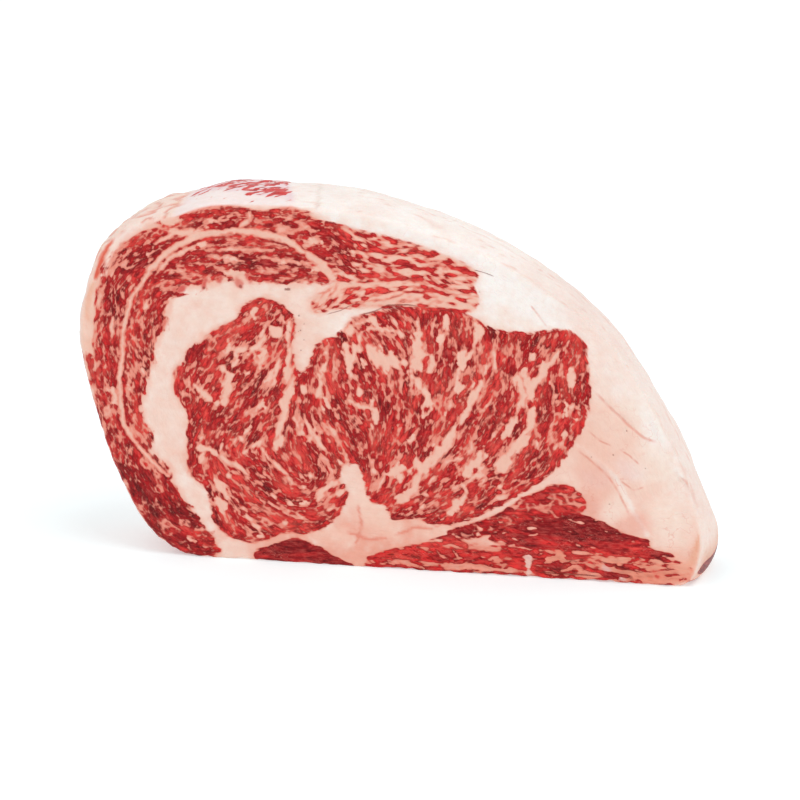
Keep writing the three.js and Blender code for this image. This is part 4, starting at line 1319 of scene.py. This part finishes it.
    # thin dark lines and spots
    darks = N.new("SeparateXYZ")
    N.join(N.attr("dark_marks").outputs["Vector"], darks.inputs[0])
    line2 = N.ramp(N.math("ABSOLUTE", N.math("ADD", darks.outputs[0], jit)), 1.6, 0.5)
    line2 = N.math("MULTIPLY", N.math("MULTIPLY", line2, darks.outputs[1]), N.ramp(broad, 0.35, 0.60, 0.25, 0.75))
    dot = N.math("MULTIPLY", N.ramp(N.math("ADD", darks.outputs[2], N.math("MULTIPLY", jit, 0.25)), 0.30, 0.80), 0.62)
    dark = N.math("MAXIMUM", line2, dot)
    brown = N.new("RGB")
    brown.outputs[0].default_value = tuple(lin((138, 46, 36))) + (1,)
    colour = N.mix(dark, colour, brown.outputs[0])

    b = N.new("BsdfPrincipled")
    N.join(colour, b.inputs["Base Color"])
    rough = N.math("MULTIPLY_ADD", meat, -0.10, 0.50)
    rough = N.math("MULTIPLY_ADD", N.math("SUBTRACT", broad, 0.5), 0.30, rough)
    N.join(rough, b.inputs["Roughness"])
    b.inputs["Specular IOR Level"].default_value = 0.15
    b.inputs["Subsurface Weight"].default_value = 0.12
    b.inputs["Subsurface Radius"].default_value = (0.0016, 0.0007, 0.0005)
    b.inputs["Subsurface Scale"].default_value = 1.0

    height = N.math("MULTIPLY_ADD", fibre, 0.22, N.math("MULTIPLY", wide, 0.25))
    height = N.math("MULTIPLY_ADD", N.math("SUBTRACT", speck, 0.5), 0.06, height)
    height = N.math("MULTIPLY_ADD", meat, -0.05, height)
    bump = N.new("Bump")
    bump.inputs["Strength"].default_value = 0.8
    bump.inputs["Distance"].default_value = MM
    N.join(height, bump.inputs["Height"])
    N.join(bump.outputs[0], b.inputs["Normal"])
    out = N.new("OutputMaterial")
    N.join(b.outputs[0], out.inputs["Surface"])
    return mat


me.materials.append(meat_material())
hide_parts("ribeye_steak")
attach(steak, "root")

# --- floor, light, camera --------------------------------------------------------
floor_me = bpy.data.meshes.new("floor")
floor_me.from_pydata([(-6, -6, 0), (6, -6, 0), (6, 6, 0), (-6, 6, 0)], [], [(0, 1, 2, 3)])
floor = bpy.data.objects.new("floor", floor_me)
bpy.context.collection.objects.link(floor)
fm = bpy.data.materials.new("floor")
FN = Nodes(fm)
fb = FN.new("BsdfPrincipled")
fb.inputs["Base Color"].default_value = (0.65, 0.745, 0.76, 1)
fb.inputs["Roughness"].default_value = 0.9
fb.inputs["Specular IOR Level"].default_value = 0.0
fb.inputs["Emission Color"].default_value = (1, 1, 1, 1)
fb.inputs["Emission Strength"].default_value = 0.40
FN.join(fb.outputs[0], FN.new("OutputMaterial").inputs["Surface"])
floor_me.materials.append(fm)

scene = bpy.context.scene
world = bpy.data.worlds.new("studio")
world.use_nodes = True
world.node_tree.nodes["Background"].inputs["Color"].default_value = (1, 1, 1, 1)
world.node_tree.nodes["Background"].inputs["Strength"].default_value = 0.79
scene.world = world


sun = bpy.data.lights.new("softbox", "SUN")
sun.energy = 0.75
sun.angle = math.radians(30)
sun_o = bpy.data.objects.new("softbox", sun)
bpy.context.collection.objects.link(sun_o)
sun_o.rotation_mode = "QUATERNION"
sun_o.rotation_quaternion = Vector((-0.30, 0.24, -0.92)).to_track_quat("-Z", "Y")

cam = bpy.data.cameras.new("camera")
cam.sensor_width = 36.0
cam.lens = 187.2
cam.clip_start, cam.clip_end = 0.05, 30
co_ = bpy.data.objects.new("camera", cam)
bpy.context.collection.objects.link(co_)
target = Vector((-1.44 + SHIFT, 0, 59.38 + LIFT)) * MM
eye_at = Vector((319.9 + SHIFT, -1511.7, 473.5 + LIFT)) * MM
co_.location = eye_at
co_.rotation_mode = "QUATERNION"
co_.rotation_quaternion = (target - eye_at).to_track_quat("-Z", "Y")
scene.camera = co_
scene.view_settings.view_transform = "Standard"
scene.view_settings.look = "None"
scene.view_settings.exposure = 0
scene.view_settings.gamma = 1
